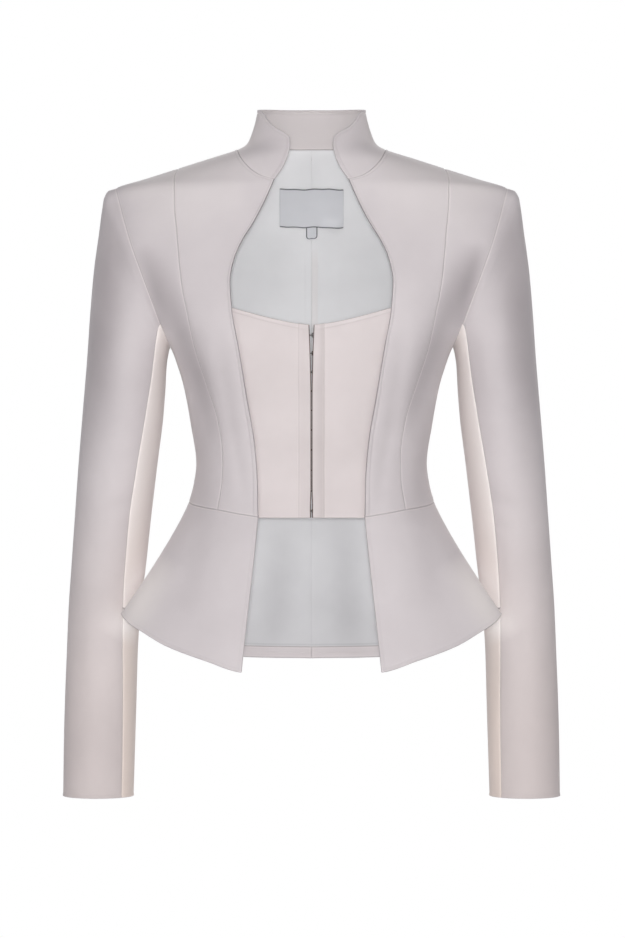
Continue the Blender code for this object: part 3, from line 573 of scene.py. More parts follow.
class Sheet:
    """A grid of points with outward directions and distances to its edges: start, end, bottom, top."""

    def __init__(self, points):
        self.points = np.array(points, float)
        self.measure()

    def measure(self):
        across = np.gradient(self.points, axis=1)
        upward = np.gradient(self.points, axis=0)
        self.normals = unit(np.cross(across, upward))
        step = np.linalg.norm(np.diff(self.points, axis=1), axis=-1)
        from_start = np.pad(np.cumsum(step, axis=1), ((0, 0), (1, 0)))
        step = np.linalg.norm(np.diff(self.points, axis=0), axis=-1)
        from_bottom = np.pad(np.cumsum(step, axis=0), ((1, 0), (0, 0)))
        self.distances = {
            "s": from_start,
            "e": from_start[:, -1:] - from_start,
            "b": from_bottom,
            "t": from_bottom[-1:] - from_bottom,
        }

    def nearest(self, edges):
        return np.min([self.distances[edge] for edge in edges], axis=0)

    def mirrored(self):
        return Sheet(self.points[:, ::-1] * (-1, 1, 1))

    def trim(self, allowances):
        """Draws each edge in by its own allowance, and the cloth beside it by less and less."""
        across = unit(np.gradient(self.points, axis=1))
        upward = unit(np.gradient(self.points, axis=0))
        start, end, bottom, top = [
            np.maximum(0, 1 - distance / TRIM_REACH)[..., None] * allowance
            for distance, allowance in zip(self.distances.values(), allowances)
        ]
        self.points += across * (start - end)
        self.points += upward * (bottom - top)

    def raise_by(self, amount):
        self.points += self.normals * np.asarray(amount)[..., None]

    def flat_size(self):
        """Widest and longest run of the cut, and its area, in metres."""
        p = self.points * MM
        crossed = np.cross(p[1:, 1:] - p[:-1, :-1], p[1:, :-1] - p[:-1, 1:])
        area = np.linalg.norm(crossed, axis=-1).sum() / 2
        return self.distances["s"][:, -1].max() * MM, self.distances["b"][-1].max() * MM, area


def pair(name):
    return [name + "_left", name + "_right"]


def mirrored_edges(edges):
    return "".join(edge for edge in EDGES if OTHER_EDGE.get(edge, edge) in edges)


def two_sides(sheet):
    """Each side's name, its sheet, and how edges that are named on the right are named there."""
    return ("_right", sheet, lambda edges: edges), ("_left", sheet.mirrored(), mirrored_edges)


def crease_cloth(sheet, sleeve=False):
    """Presses the creases into a sheet, forward or back, and returns its painted shade and highlights."""
    x, y, z = np.moveaxis(sheet.points.copy(), -1, 0)
    forward = np.zeros_like(x)
    total = np.zeros_like(x)
    dark = np.zeros_like(x)
    for crease in CREASES:
        line = np.array([crease.x2 - crease.x1, crease.z2 - crease.z1])
        length = np.hypot(*line)
        line = line / length
        along = ((x - crease.x1) * line[0] + (z - crease.z1) * line[1]) / length
        beside = (x - crease.x1) * line[1] - (z - crease.z1) * line[0]
        fade = np.sin(HALF_TURN * np.clip(along, 0, 1)) ** CREASE_FADE
        side = smooth_step(*CREASE_TURN, y * crease.side)
        if sleeve:
            facing = smooth_step(*SLEEVE_FACING, sheet.normals[..., 1] * crease.side)
            side = mix(side, facing, smooth_step(0, SLEEVE_TURN, sheet.distances["t"]))
        share = fade * side * bell(beside, crease.width)
        forward += crease.rise * share * crease.side
        total += crease.rise * share
        dark += crease.shade * share
    sheet.points[..., 1] += forward
    sheet.measure()
    # painted shade that deepens with each trough's depth
    return dark + HOLLOW_SHADE * np.maximum(0, -total)


# Profiles of an edge: shares of the way through the wall, and how far each stands out
SEAM_EDGE = ((0.3, 0.05), (0.7, 0.05))
ROUND_EDGE = ((0.12, 0.32), (0.35, 0.55), (0.65, 0.55), (0.88, 0.32))
FOLDED_EDGE = ((0.08, 0.35), (0.24, 0.55), (0.42, 0.3), (0.5, -0.25), (0.58, 0.3), (0.76, 0.5), (0.92, 0.3))


def cloth_mesh(name, sheet, wall, profile):
    """A closed wall under a sheet, with a shaped rim all round.

    Returns the mesh, each face's material, the rim's points and the number of all points.
    """
    outer = sheet.points
    inner = outer - sheet.normals * np.asarray(wall)[..., None]
    rows, columns = outer.shape[:2]
    count = rows * columns
    index = np.arange(count).reshape(rows, columns)
    a, b, c, d = index[:-1, :-1], index[:-1, 1:], index[1:, 1:], index[1:, :-1]
    front = np.stack([a, b, c, d], axis=-1).reshape(-1, 4)
    back = (front + count)[:, ::-1]
    rim = np.concatenate([index[0, :-1], index[:-1, -1], index[-1, :0:-1], index[:0:-1, 0]])
    flat = outer.reshape(-1, 3)
    deep = inner.reshape(-1, 3)
    ahead = np.roll(flat[rim], -1, axis=0) - np.roll(flat[rim], 1, axis=0)
    outward = unit(np.cross(ahead, sheet.normals.reshape(-1, 3)[rim]))
    loops = [rim]
    points = [flat, deep]
    start = 2 * count
    for share, out in profile:
        points.append(mix(flat[rim], deep[rim], share) + outward * out)
        loops.append(start + np.arange(len(rim)))
        start += len(rim)
    loops.append(rim + count)
    faces = [front, back]
    for upper, lower in zip(loops, loops[1:]):
        faces.append(np.stack([np.roll(upper, -1), upper, lower, np.roll(lower, -1)], axis=-1))
    faces = np.concatenate(faces)
    mesh = bpy.data.meshes.new(name)
    mesh.from_pydata((np.concatenate(points) * MM).tolist(), [], faces.tolist())
    mesh.update()
    inside = np.zeros(len(faces), int)
    inside[len(front) : 2 * len(front)] = 1
    return mesh, inside, rim, start


def paint(mesh, tone, inside_light, rim, rim_shade, total):
    """Writes the painted shade, warm tint and painted highlight at each point, for its material; rims get
    at least their painted shade, and inner faces extra painted light.
    """
    flat = np.clip(tone.reshape(-1, 3), 0, 1)
    count = len(flat)
    values = np.zeros((total, 4), np.float32)
    values[:, 3] = 1
    values[:count, :3] = flat
    values[count : 2 * count, :3] = flat
    values[count : 2 * count, 2] += np.broadcast_to(inside_light, tone.shape[:2]).ravel()
    for start in range(2 * count, total, len(rim)):
        values[start : start + len(rim), 0] = np.maximum(rim_shade, flat[rim, 0])
    layer = mesh.color_attributes.new("tone", "FLOAT_COLOR", "POINT")
    layer.data.foreach_set("color", values.ravel())


def edge_roll(distance, groove, pressed):
    """A turned edge: a soft roll along it, and a groove where the layers were pressed flat."""
    roll = ROLL_RISE * bell(distance, ROLL_WIDTH)
    return roll - pressed * ROLL_RISE * bell(distance - groove, ROLL_GROOVE_WIDTH)


def add_object(name, data):
    thing = bpy.data.objects.new(name, data)
    bpy.context.scene.collection.objects.link(thing)
    return thing


def add_cloth(
    name, sheet, wall, outside, inside, profile, grooves, *, slot, held, rests_on, shallow="", free="",
    tucked="", lined="", depth=GROOVE_DEPTH, dark=SEAM_DARK, crisp=HIGHLIGHT_SHARE, crisp_top=None,
    roll_groove=ROLL_GROOVE, pressed=0.15, edge_gap=EDGE_BULGE, shade=0.0, warm=0.0,
    rim_shade=RIM_DARK, inside_light=0.0,
):
    """Adds one cloth piece in its outside and inside materials, and hides the part that it stands for.

    grooves names its sewn edges, shallow those of them that lie level, free the turned ones, tucked
    those that run in under the next piece, and lined those that end in a dark line of painted shade.
    """
    shape = sheet.points.shape[:2]
    rise = np.zeros(shape)
    darkness = np.zeros(shape)
    lightness = np.zeros(shape)
    for edge in grooves:
        distance = sheet.distances[edge]
        share = LEVEL_SHARE if edge in shallow else 1.0
        rise = np.minimum(rise, -depth * share * bell(distance, GROOVE_WIDTH))
        rise -= SOFT_DEPTH * share * depth / GROOVE_DEPTH * bell(distance, SOFT_WIDTH)
        # a dark line of painted shade along each seam, and a painted highlight beside it
        darkness = np.maximum(darkness, dark * share * bell(distance, SEAM_LINE))
        light = crisp_top if edge == "t" and crisp_top else crisp
        lightness = np.maximum(lightness, light * bell(distance - HIGHLIGHT_OFFSET, HIGHLIGHT_WIDTH))
    if free:
        distance = sheet.nearest(free)
        roll = edge_roll(distance, roll_groove, pressed)
        rise += roll
        wall = wall + roll
        # a line of painted shade along the pressed groove
        line = ROLL_DARK * pressed * bell(distance - roll_groove, ROLL_LINE)
        darkness = np.maximum(darkness, line)
    # dark lines of painted shade along lined edges
    for edge in lined:
        darkness = np.maximum(darkness, LINED_DARK * bell(sheet.distances[edge], LINED_LINE))
    # shade is painted shade where positive, and a painted highlight where negative
    darkness += np.maximum(0, shade)
    lightness += np.maximum(0, np.negative(shade))
    tone = np.stack([darkness, np.broadcast_to(warm, shape), lightness], axis=-1)
    gaps = dict.fromkeys(EDGES, HALF_GAP) | dict.fromkeys(free, edge_gap)
    gaps |= dict.fromkeys(tucked, TUCKED_GAP)
    sheet.trim(gaps.values())
    sheet.raise_by(rise)
    sheet.measure()
    mesh, inside_faces, rim, total = cloth_mesh(name, sheet, wall, profile)
    paint(mesh, tone, inside_light, rim, rim_shade, total)
    mesh.materials.append(outside)
    mesh.materials.append(inside)
    mesh.polygons.foreach_set("material_index", inside_faces)
    mesh.shade_smooth()
    piece = add_object(name + "_cloth", mesh)
    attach(piece, "root")
    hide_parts(name)
    width, length, area = sheet.flat_size()


def both_sides(name, sheet, shade, *cloth, **looks):
    for side, cut, _ in two_sides(sheet):
        painted_light_and_shade = crease_cloth(cut)
        add_cloth(name + side, cut, *cloth, shade=shade + painted_light_and_shade, **looks)


def linear(colour):
    return [(value / 255) ** GAMMA for value in colour] + [1]


def new_material(name):
    material = bpy.data.materials.new(name)
    material.use_nodes = True
    return material, material.node_tree, material.node_tree.nodes["Principled BSDF"]


def fill(tree, node, inputs):
    """Sets a node's inputs, and joins those that are given as another node's output."""
    for key, value in inputs.items():
        if isinstance(value, bpy.types.NodeSocket):
            tree.links.new(value, node.inputs[key])
        else:
            node.inputs[key].default_value = value


def add_node(tree, kind, inputs, **settings):
    """Adds a node, and returns its outputs."""
    node = tree.nodes.new("ShaderNode" + kind)
    for key, value in settings.items():
        setattr(node, key, value)
    fill(tree, node, inputs)
    return node.outputs


def cloth_material(name, colour, shadow, warm, light, roughness, sheen, grain, grain_height, weave):
    """Woven cloth: fine grain as bump, faint clouding, and the painted shade, warm tint and painted
    highlights written in its tone.
    """
    material, tree, shader = new_material(name)
    where = add_node(tree, "TexCoord", {})["Object"]
    clouds = add_node(tree, "TexNoise", {"Vector": where, "Scale": 14, "Detail": 3})["Fac"]
    span = {"Value": clouds, "From Min": 0.3, "From Max": 0.7, "To Min": 0.0, "To Max": 0.10}
    clouds = add_node(tree, "MapRange", span)["Result"]
    painted = add_node(tree, "Attribute", {}, attribute_name="tone")["Color"]
    tone = add_node(tree, "SeparateColor", {"Color": painted})
    # darker with the faint clouding and the painted shade, warmer with the warm tint, lighter with the
    # painted highlights
    dark = add_node(tree, "Math", {0: clouds, 1: tone["Red"]}, operation="ADD", use_clamp=True)["Value"]
    cloth = linear(colour)
    for other, share in ((warm, tone["Green"]), (shadow, dark), (light, tone["Blue"])):
        blend = {"Factor": share, "A": cloth, "B": linear(other)}
        cloth = add_node(tree, "Mix", blend, data_type="RGBA")["Result"]
    fine = add_node(tree, "TexNoise", {"Vector": where, "Scale": grain, "Detail": 2})["Fac"]
    wave = {"Vector": where, "Scale": weave, "Distortion": 2, "Detail": 1}
    threads = add_node(tree, "TexWave", wave, bands_direction="Z")["Fac"]
    surface = add_node(tree, "Math", {0: threads, 1: THREAD_SHARE, 2: fine}, operation="MULTIPLY_ADD")
    bump = add_node(tree, "Bump", {"Height": surface["Value"], "Strength": 0.35, "Distance": grain_height})
    fill(tree, shader, {
        "Base Color": cloth,
        "Normal": bump["Normal"],
        "Roughness": roughness,
        "Specular IOR Level": 0.25,
        "Sheen Weight": sheen,
        "Sheen Roughness": 0.45,
    })
    return material


def metal_material():
    """Steel wire darkened as painted shade, with fine draw marks."""
    material, tree, shader = new_material("hook_wire")
    where = add_node(tree, "TexCoord", {})["Object"]
    marks = add_node(tree, "TexNoise", {"Vector": where, "Scale": 2500})["Fac"]
    ramp = tree.nodes.new("ShaderNodeValToRGB")
    # dark colours as painted shade for the shadow the hooks and eyes sit in
    ramp.color_ramp.elements[0].color = linear((30, 24, 22))
    ramp.color_ramp.elements[1].color = linear((100, 92, 88))
    fill(tree, ramp, {"Fac": marks})
    fill(tree, shader, {"Base Color": ramp.outputs["Color"], "Metallic": 1.0, "Roughness": 0.28})
    return material


# Cloths: colour, then its colours for painted shade, warm tint and painted highlight, roughness, sheen, and
# grain, its height and weave
SHELL_SHADE = (118, 109, 113)
SHELL_WARM = (226, 202, 184)
SHELL_HIGHLIGHT = (250, 243, 239)
SHELL = cloth_material(
    "shell_crepe", (213, 206, 207), SHELL_SHADE, SHELL_WARM, SHELL_HIGHLIGHT, 0.82, 0.18, 1500, 0.00025, 400
)
INSERT = cloth_material(
    "insert_crepe", (219, 210, 209), (84, 66, 62), SHELL_WARM, SHELL_HIGHLIGHT, 0.82, 0.18, 1500, 0.0002, 400
)
LINING = cloth_material(
    "lining_satin", (249, 249, 250), (128, 126, 130), (244, 234, 230), (252, 252, 253),
    0.5, 0.1, 2200, 0.0001, 900,
)
LABEL = cloth_material(
    "label_satin", (224, 225, 229), (70, 70, 76), (206, 208, 212), (245, 245, 248),
    0.42, 0.1, 2600, 0.0001, 1400,
)
METAL = metal_material()


def waist_corner(height, across_at, behind=False):
    return float(angle_on_body(height, across_at(height), behind)), height


WAIST = np.array([
    waist_corner(WAIST_FRONT, FRONT_EDGE_AT),
    waist_corner(WAIST_PRINCESS, PRINCESS_AT),
    (QUARTER_TURN, WAIST_SIDE),
    waist_corner(WAIST_BACK_PRINCESS, BACK_PRINCESS_AT, True),
    (HALF_TURN, WAIST_BACK),
])


def waist_height(angle):
    return np.interp(angle, WAIST[:, 0], WAIST[:, 1])


def peplum_point(angle, drop):
    """Points of the peplum, with drop from 0 at the waist to 1 at the hem."""
    top = body_point(angle, waist_height(angle))
    power = np.where(np.cos(angle) > 0, HEM_FRONT_POWER, HEM_BACK_POWER)
    sideways, forward = rounded(angle, power)
    depth = np.where(forward > 0, HEM_FRONT + HEM_SIDE_SHIFT, HEM_BACK - HEM_SIDE_SHIFT)
    bottom = np.stack(
        [HEM_WIDTH * sideways, HEM_SIDE_SHIFT - depth * forward, HEM_AT(np.degrees(angle))], axis=-1
    )
    spread = drop[..., None] ** np.array([FLARE_POWER, FLARE_POWER, 1.0])
    return mix(top, bottom, spread)


def peplum_sheet(start, end, hem_start, first_drop=0.0, last_drop=1.0):
    length = PEPLUM_LENGTH * (last_drop - first_drop)
    drops = first_drop + spaced(length)[::-1] / PEPLUM_LENGTH
    shares = spaced(PEPLUM_WIDTH) / PEPLUM_WIDTH
    first = mix(start, hem_start, drops)
    angle = mix(first[:, None], end, shares[None])
    return Sheet(peplum_point(angle, np.broadcast_to(drops[:, None], angle.shape)))


def inset_sheet(sheet, distance):
    inner = Sheet(sheet.points)
    inner.raise_by(-distance)
    inner.measure()
    return inner


def body_sheet(places):
    return Sheet(body_point(places[..., 0], places[..., 1]))


def edge_wall(distance):
    """The wall grows thicker where the cloth is turned in at an edge."""
    return SHELL_WALL + (EDGE_WALL - SHELL_WALL) * bell(distance, EDGE_WIDTH)


def make_body():
    panels = (
        ("front_centre", FRONT_LINE, PRINCESS_LINE, "ebt", "s", ""),
        ("front_side", PRINCESS_LINE, SIDE_LINE, "sebt", "", "e"),
        ("back_side", BACK_SIDE_LINE, BACK_PRINCESS_LINE, "sebt", "", "s"),
        ("back_centre", BACK_PRINCESS_LINE, BACK_LINE, "sebt", "", ""),
    )
    for name, inner, outer, sewn, turned, armhole in panels:
        for side, cut, edges in two_sides(body_sheet(panel_places(inner, outer))):
            painted_light_and_shade = crease_cloth(cut)
            wall = edge_wall(cut.nearest(edges(turned))) if turned else SHELL_WALL
            # painted shade on the rims, for the shadow along the front edges, and along the pressed groove
            add_cloth(
                name + side, cut, wall, SHELL, LINING, FOLDED_EDGE if turned else SEAM_EDGE, edges(sewn),
                slot="shell", held="stretched", rests_on=["wearer's body"], shallow=edges(armhole),
                free=edges(turned), roll_groove=faded(FRONT_ROLL, cut.points[..., 2]), pressed=1.0,
                shade=painted_light_and_shade, rim_shade=0.55,
            )


def make_collar():
    bottom_line = SeamLine((NECK_CELLS, front_neck()), (NECK_CELLS, back_neck()[::-1]))
    degrees = np.linspace(COLLAR_TOP[0][0], COLLAR_TOP[-1][0], SEAM_SAMPLES)
    top_line = SeamLine((2 * NECK_CELLS, np.stack([np.radians(degrees), COLLAR_TOP_AT(degrees)], axis=-1)))
    front_line = SeamLine((1, upright(COLLAR_END_AT, NECK_FRONT, COLLAR_TOP[0][1])))
    back_line = SeamLine((1, straight((HALF_TURN, NECK_BACK), (HALF_TURN, COLLAR_TOP[-1][1]))))
    up = spaced(COLLAR_HEIGHT, FINE_STEP) / COLLAR_HEIGHT
    along = spaced(COLLAR_HALF_LENGTH, COLLAR_STEP) / COLLAR_HALF_LENGTH
    along = np.append(along[along <= 1 - COLLAR_MIDDLE_ROOM / COLLAR_HALF_LENGTH], 1.0)
    bottom = bottom_line.at(along * 2 * NECK_CELLS)
    top = top_line.at(along * 2 * NECK_CELLS)
    front = front_line.at(up)
    back = back_line.at(up)
    u = along[None, :, None]
    v = up[:, None, None]
    low = mix(bottom[0], bottom[-1], u)
    high = mix(top[0], top[-1], u)
    places = mix(bottom[None], top[None], v) + mix(front[:, None], back[:, None], u) - mix(low, high, v)
    half = body_sheet(places).points
    whole = np.concatenate([half, (half[:, ::-1] * (-1, 1, 1))[:, 1:]], axis=1)
    sheet = Sheet(whole)
    y = sheet.points[..., 1]
    # painted highlight on the collar's outside at its sides, painted shade on its front, and painted light
    # on its inside at the back
    collar_painted_highlight = smooth_step(*COLLAR_TURN, y) * faded(COLLAR_HIGHLIGHT, y)
    painted_light_and_shade = crease_cloth(sheet) + faded(COLLAR_FRONT_SHADE, y) - collar_painted_highlight
    wall = edge_wall(sheet.nearest("set"))
    for stitches in COLLAR_STITCHES:
        wall = wall - STITCH_DEPTH * bell(sheet.distances["t"] - stitches, STITCH_WIDTH)
    add_cloth(
        "collar", sheet, wall, SHELL, SHELL, FOLDED_EDGE, "b", slot="shell", held="stretched",
        rests_on=pair("front_centre"), free="set", dark=0.5, pressed=0.5, shade=painted_light_and_shade,
        rim_shade=0.0, inside_light=faded(COLLAR_INSIDE_LIGHT, y),
    )


def make_peplum():
    hem_angle = math.asin((HEM_FRONT_EDGE / HEM_WIDTH) ** (HEM_FRONT_POWER / 2))
    for name, start, end, hem_start, sewn, turned in (
        ("peplum_front", WAIST[0, 0], QUARTER_TURN, hem_angle, "et", "sb"),
        ("peplum_back", QUARTER_TURN, HALF_TURN, QUARTER_TURN, "set", "b"),
    ):
        for side, cut, edges in two_sides(peplum_sheet(start, end, hem_start)):
            painted_light_and_shade = crease_cloth(cut)
            wall = edge_wall(cut.nearest(edges(turned)))
            add_cloth(
                name + side, cut, wall, SHELL, LINING, FOLDED_EDGE, edges(sewn), slot="shell",
                held="hung", rests_on=pair("front_side"), free=edges(turned), dark=0.42, shade=painted_light_and_shade,
            )
    facing = HEM_FACING_DEPTH / (WAIST_BACK - HEM[-1][1])
    inset = SHELL_INSET + LINING_GAP
    lining = inset_sheet(peplum_sheet(QUARTER_TURN, HALF_TURN, QUARTER_TURN, 0.0, 1 - facing), inset)
    # painted shade on the peplum lining, darkest at its hem
    from_hem = lining.distances["b"].mean(axis=1, keepdims=True)
    both_sides(
        "peplum_lining", lining, faded(PEPLUM_LINING_SHADE, from_hem), LINING_WALL, LINING, LINING,
        ROUND_EDGE, "se", slot="lining", held="hung", rests_on=pair("back_lining"), free="b",
        depth=0.15, dark=0.05, crisp=0, roll_groove=LINING_ROLL, pressed=0.8,
    )
    strip = peplum_sheet(QUARTER_TURN, HALF_TURN, QUARTER_TURN, 1 - facing, LAST_DROP)
    # a faint painted highlight on the hem facing
    both_sides(
        "hem_facing", inset_sheet(strip, inset), -FACING_LIGHT, LINING_WALL, SHELL, SHELL, ROUND_EDGE,
        "sebt", slot="shell", held="laid", rests_on=pair("peplum_back"), depth=0.2,
    )


def bodice_sheet(inner_at, outer_at, width):
    up = spaced(BODICE_LENGTH) / BODICE_LENGTH
    shares = spaced(width, FINE_STEP, NARROW_OFFSETS) / width
    level = mix(WAIST_FRONT, float(BODICE_TOP_AT(0)), up)[:, None]
    across = mix(inner_at(level), outer_at(level), shares[None])
    top = BODICE_TOP_AT(across)
    bottom = waist_height(angle_on_body(WAIST_FRONT, across))
    height = mix(bottom, top, up[:, None])
    across = mix(inner_at(height), outer_at(height), shares[None])
    return inset_sheet(Sheet(body_point(angle_on_body(height, across), height)), SHELL_INSET + BODICE_GAP)


def band_edge_at(height):
    return np.full_like(height, BAND_EDGE)


def make_bodice():
    both_sides(
        "bodice", bodice_sheet(band_edge_at, PRINCESS_AT, BODICE_WIDTH), 0.0, BODICE_WALL, INSERT, LINING,
        ROUND_EDGE, "se", slot="insert", held="stretched", rests_on=pair("front_centre"), free="t",
        depth=0.2, dark=0.06, crisp=0.1, roll_groove=BODICE_ROLL, pressed=0.7,
    )
    for side, cut, edges in two_sides(bodice_sheet(CLOSURE_AT, band_edge_at, BAND_WIDTH)):
        # the bands are darker, the right one more beyond its fold, and each closure edge ends in a dark
        # line of painted shade
        shade = crease_cloth(cut) + BAND_DARK
        if side == "_right":
            shade = shade + faded(BAND_SHADE, cut.distances["s"])
        add_cloth(
            "bodice_band" + side, cut, BODICE_WALL, INSERT, LINING, ROUND_EDGE, edges("e"),
            slot="insert", held="stretched", rests_on=pair("bodice"), free=edges("st"),
            lined=edges("s"), depth=0.2, dark=0.06, crisp=0.1, roll_groove=BAND_ROLL, pressed=0.5,
            edge_gap=BAND_EDGE_GAP, shade=shade,
        )


def make_back_lining():
    side_places = panel_places(BACK_SIDE_LINE, BACK_PRINCESS_LINE)
    centre_places = panel_places(BACK_PRINCESS_LINE, BACK_LINE)
    places = np.concatenate([side_places, centre_places[:, 1:]], axis=1)
    for side, cut, _ in two_sides(inset_sheet(body_sheet(places), SHELL_INSET + LINING_GAP)):
        across = np.abs(cut.points[..., 0])
        height = cut.points[..., 2]
        pleat = smooth_step(PLEAT_TOP, PLEAT_TOP - PLEAT_FADE, height)
        pleat *= smooth_step(PLEAT_HALF_WIDTH + PLEAT_BEND, PLEAT_HALF_WIDTH - PLEAT_BEND, across)
        cut.raise_by(-PLEAT_RISE * pleat)
        cut.measure()
        # painted shade over the lining's middle, away from the front edges and above the bodice
        middle = smooth_step(*LINING_SHADE_ACROSS, FRONT_EDGE_AT(height) - across)
        middle *= smooth_step(*LINING_SHADE_UP, height)
        painted_light_and_shade = crease_cloth(cut)
        add_cloth(
            "back_lining" + side, cut, LINING_WALL, LINING, LINING, SEAM_EDGE, "se", slot="lining",
            held="hung", rests_on=pair("back_centre"), depth=0.15, dark=0.05, crisp=0, rim_shade=0.1,
            shade=painted_light_and_shade + LINING_SHADE * middle, warm=PLEAT_WARM * pleat if side == "_right" else 0.0,
        )


def ring_angle(base, base_front, base_back, front, back):
    """Slides angles round a sleeve ring so that its two seams land where they should."""
    under = (base + base_back) / (base_front + base_back)
    wrapped = np.where(base < 0, base + 2 * HALF_TURN, base)
    over = (wrapped - base_front) / (2 * HALF_TURN - base_back - base_front)
    is_under = (base >= -base_back - TINY) & (base <= base_front + TINY)
    return np.where(is_under, mix(-back, front, under), mix(front, 2 * HALF_TURN - back, over))


def sleeve_sheet(first_cell, last_cell, width):
    """Part of the sleeve between two seams, counted in cells round the armhole from the armpit."""
    cells = first_cell + spaced(width) / width * (last_cell - first_cell)
    wrapped = np.mod(cells, RING_CELLS)
    in_front = wrapped <= ARMHOLE_CELLS
    front = SIDE_LINE.at(SIDE_CELLS + np.minimum(wrapped, ARMHOLE_CELLS))
    back = BACK_SIDE_LINE.at(SIDE_CELLS + np.minimum(RING_CELLS - wrapped, ARMHOLE_CELLS))
    places = np.where(in_front[:, None], front, back)
    loop = body_point(*places.T)

    def base_of(cell, behind):
        line = BACK_SIDE_LINE if behind else SIDE_LINE
        height = line.at(SIDE_CELLS + np.asarray(cell, float))[..., 1]
        share = np.clip((height - ARMPIT) / (SHOULDER_TIP - ARMPIT), 0, 1)
        return np.arccos(1 - 2 * share)

    bases = np.where(
        in_front,
        base_of(np.minimum(wrapped, ARMHOLE_CELLS), False),
        -base_of(np.minimum(RING_CELLS - wrapped, ARMHOLE_CELLS), True),
    )
    base_front = float(base_of(FRONT_SEAM_CELL, False))
    base_back = float(base_of(BACK_SEAM_CELL, True))
    table = SmoothTable([(i, *row) for i, row in enumerate(SLEEVE)])

    def ring(number):
        outer_x, outer_z, inner_x, inner_z, middle, half, blend, front_seam, back_seam = table(number)
        angle = ring_angle(bases, base_front, base_back, math.radians(front_seam), math.radians(back_seam))
        along = (1 - np.cos(angle)) / 2
        depth = mix(loop[:, 1], -half * np.sin(angle), blend)
        place = [mix(inner_x, outer_x, along), middle + depth, mix(inner_z, outer_z, along)]
        return np.stack(place, axis=-1)

    first_ring = ring(0.0)

    def level(number):
        return ring(number) if number >= 0 else mix(loop, first_ring, 1 + number)

    numbers = np.linspace(len(SLEEVE) - 1, -1, SEAM_SAMPLES)
    drawn = np.array([level(number) for number in numbers])
    steps = np.linalg.norm(np.diff(drawn, axis=0), axis=-1).mean(axis=1)
    along = np.concatenate([[0], np.cumsum(steps)])
    chosen = np.interp(spaced(along[-1]), along, numbers)
    return Sheet(np.array([level(number) for number in chosen]))


def make_sleeves():
    for name, first, last, width in (
        ("sleeve_top", FRONT_SEAM_CELL, RING_CELLS - BACK_SEAM_CELL, SLEEVE_TOP_WIDTH),
        ("sleeve_under", -BACK_SEAM_CELL, FRONT_SEAM_CELL, SLEEVE_UNDER_WIDTH),
    ):
        for side, cut, edges in two_sides(sleeve_sheet(first, last, width)):
            height = cut.points[..., 2]
            # painted shade, more towards the cuffs, and a warmer tint towards the cuffs
            shade = crease_cloth(cut, sleeve=True) + faded(SLEEVE_SHADE, height)
            warm = faded(SLEEVE_WARM, height)
            # painted light on the undersleeve's front part: a warm tint for light through the cloth, and a
            # highlight that fades towards the cuff
            if name == "sleeve_under":
                front = cut.distances[edges("s")]
                frontness = front / (front + cut.distances[edges("e")])
                warm = warm + UNDERSLEEVE_WARM * frontness
                shade = shade - frontness * faded(UNDERSLEEVE_LIGHT, height)
            add_cloth(
                name + side, cut, edge_wall(cut.distances["b"]), SHELL, LINING, FOLDED_EDGE, "set",
                slot="shell", held="hung", rests_on=pair("front_side"), shallow="t", free="b",
                tucked="t", crisp=0.12, crisp_top=0.35, shade=shade, warm=warm,
            )


def make_labels():
    inset = SHELL_INSET + LINING_GAP + LINING_WALL + LABEL_GAP
    for name, left, right, bottom, top, grooves in (
        ("label_main", -LABEL_HALF_WIDTH, LABEL_HALF_WIDTH, LABEL_BOTTOM, LABEL_TOP, "tb"),
        ("label_size", TAB_LEFT, TAB_RIGHT, TAB_BOTTOM, TAB_TOP, "seb"),
    ):
        x = np.linspace(right, left, LABEL_COLUMNS)[None, :]
        z = np.linspace(bottom, top, LABEL_ROWS)[:, None]
        if name == "label_size":
            middle = (left + right) / 2
            low = np.clip((bottom + TAB_CORNER - z) / TAB_CORNER, 0, 1)
            half = (right - left) / 2
            x = middle + (x - middle) * (1 - TAB_CORNER / half * (1 - np.sqrt(1 - low**2)))
        z = z + sum(size * np.sin(x / length + start) for size, length, start in LABEL_WAVES)
        angle = angle_on_body(z, np.abs(x), True)
        angle = np.where(x > 0, angle, 2 * HALF_TURN - angle)
        sheet = inset_sheet(Sheet(body_point(angle, z)), inset)
        if name == "label_main":
            bow = LABEL_BOW * np.sin(x / LABEL_BOW_ACROSS) * np.sin(z / LABEL_BOW_UP)
            corner = ((x - PUCKER_AT) / PUCKER_WIDTH) ** 2 + ((z - bottom) / PUCKER_HEIGHT) ** 2
            sheet.raise_by(-bow - LABEL_PUCKER * np.exp(-corner))
            sheet.measure()
        # dark lines of painted shade along the labels' edges
        add_cloth(
            name, sheet, LABEL_WALL, LABEL, LABEL, ROUND_EDGE, grooves, slot="label", held="laid",
            rests_on=pair("back_lining"), depth=0.1, dark=0.9, crisp=0,
        )


def closure_frame(height):
    """A point inside the closure, and the directions along and into the jacket there."""
    low, middle, high = body_point(np.zeros(3), np.array([height - 1, height, height + 1]))
    along = Vector(high - low).normalized()
    outward = Vector((1, 0, 0)).cross(along).normalized()
    start = Vector(middle) - outward * (SHELL_INSET + BODICE_GAP + BODICE_WALL + WIRE_CLEARANCE)
    return start, along, -outward


def hook_path():
    path = [(-HOOK_REACH, 0.0, WIRE_SEAT), (-HOOK_REACH / 2, 0.0, WIRE_SEAT)]
    middle = WIRE_SEAT + CURL_RADIUS
    for i in range(CURL_STEPS + 1):
        turn = -QUARTER_TURN + HALF_TURN * i / CURL_STEPS
        across = CURL_CENTRE + CURL_RADIUS * math.cos(turn)
        path.append((across, 0.0, middle + CURL_RADIUS * math.sin(turn)))
    return path + [(HOOK_TIP, 0.0, WIRE_SEAT + 2 * CURL_RADIUS)]


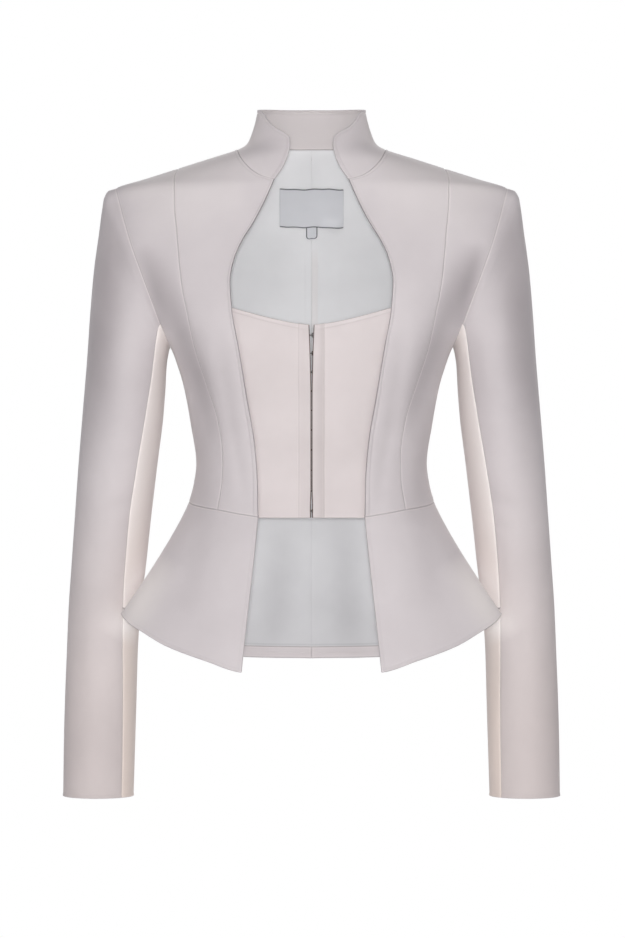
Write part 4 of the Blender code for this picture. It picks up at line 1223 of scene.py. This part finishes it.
def eye_path():
    middle = WIRE_SEAT + CURL_RADIUS
    bar_end = EYE_HALF_HEIGHT - EYE_CORNER
    half = [
        (HOOK_REACH, EYE_HALF_HEIGHT, WIRE_SEAT),
        (HOOK_REACH / 2, EYE_HALF_HEIGHT, WIRE_SEAT + EYE_RISE),
    ]
    for i in range(CORNER_STEPS + 1):
        turn = QUARTER_TURN * i / CORNER_STEPS
        across = EYE_BAR + EYE_CORNER - EYE_CORNER * math.sin(turn)
        half.append((across, bar_end + EYE_CORNER * math.cos(turn), middle))
    return half + [(across, -along, depth) for across, along, depth in reversed(half)]


def make_wires(name, path, nodes):
    curve = bpy.data.curves.new(name, "CURVE")
    curve.dimensions = "3D"
    curve.bevel_depth = WIRE_RADIUS * MM
    curve.bevel_resolution = 3
    curve.use_fill_caps = True
    for i in range(HOOK_COUNT):
        start, along, inward = closure_frame(mix(HOOK_TOP, HOOK_BOTTOM, i / (HOOK_COUNT - 1)))
        spline = curve.splines.new("POLY")
        spline.points.add(len(path) - 1)
        for point, (x, up, depth) in zip(spline.points, path):
            place = (start + Vector((x, 0, 0)) + along * up + inward * depth) * MM
            point.co = (*place, 1)
    curve.materials.append(METAL)
    wires = add_object(name, curve)
    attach(wires, "root")
    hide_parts(*nodes)


def make_closure():
    numbers = range(1, HOOK_COUNT + 1)
    make_wires("hooks", hook_path(), [f"hook_{i:02d}" for i in numbers])
    make_wires("eyes", eye_path(), [f"eye_{i:02d}" for i in numbers])


def make_studio():
    """A pale floor below the picture, and light from the front, above, both sides and behind."""
    mesh = bpy.data.meshes.new("floor")
    mesh.from_pydata([(x, y, FLOOR) for x, y in FLOOR_CORNERS], [], [(0, 1, 2, 3)])
    material, tree, shader = new_material("pale_floor")
    fill(tree, shader, {"Base Color": linear((240, 240, 240)), "Roughness": 0.9})
    mesh.materials.append(material)
    add_object("floor", mesh)
    for light in LIGHTS:
        lamp = bpy.data.lights.new(light.name, "AREA")
        lamp.shape = "RECTANGLE"
        lamp.size, lamp.size_y = light.size
        lamp.energy = light.power
        holder = add_object(light.name, lamp)
        holder.location = light.place
        towards = Vector(light.target) - Vector(light.place)
        holder.rotation_euler = towards.to_track_quat("-Z", "Y").to_euler()
    world = bpy.data.worlds.new("studio")
    world.use_nodes = True
    tree = world.node_tree
    dim = tree.nodes["Background"]
    fill(tree, dim, {"Color": SURROUNDING_LIGHT, "Strength": SURROUNDING_STRENGTH})
    white = add_node(tree, "Background", {"Color": WHITE})["Background"]
    seen = add_node(tree, "LightPath", {})["Is Camera Ray"]
    either = add_node(tree, "MixShader", {"Fac": seen, 1: dim.outputs["Background"], 2: white})
    fill(tree, tree.nodes["World Output"], {"Surface": either["Shader"]})
    bpy.context.scene.world = world
    bpy.context.scene.view_settings.view_transform = "Standard"


def make_camera():
    camera = bpy.data.cameras.new("camera")
    camera.sensor_width = CAMERA_SENSOR
    camera.lens = CAMERA_LENS
    camera.clip_end = CAMERA_REACH
    holder = add_object("camera", camera)
    holder.location = CAMERA_PLACE
    holder.rotation_euler = (QUARTER_TURN, 0, 0)
    bpy.context.scene.camera = holder


make_body()
make_collar()
make_peplum()
make_bodice()
make_back_lining()
make_sleeves()
make_labels()
make_closure()
make_studio()
make_camera()
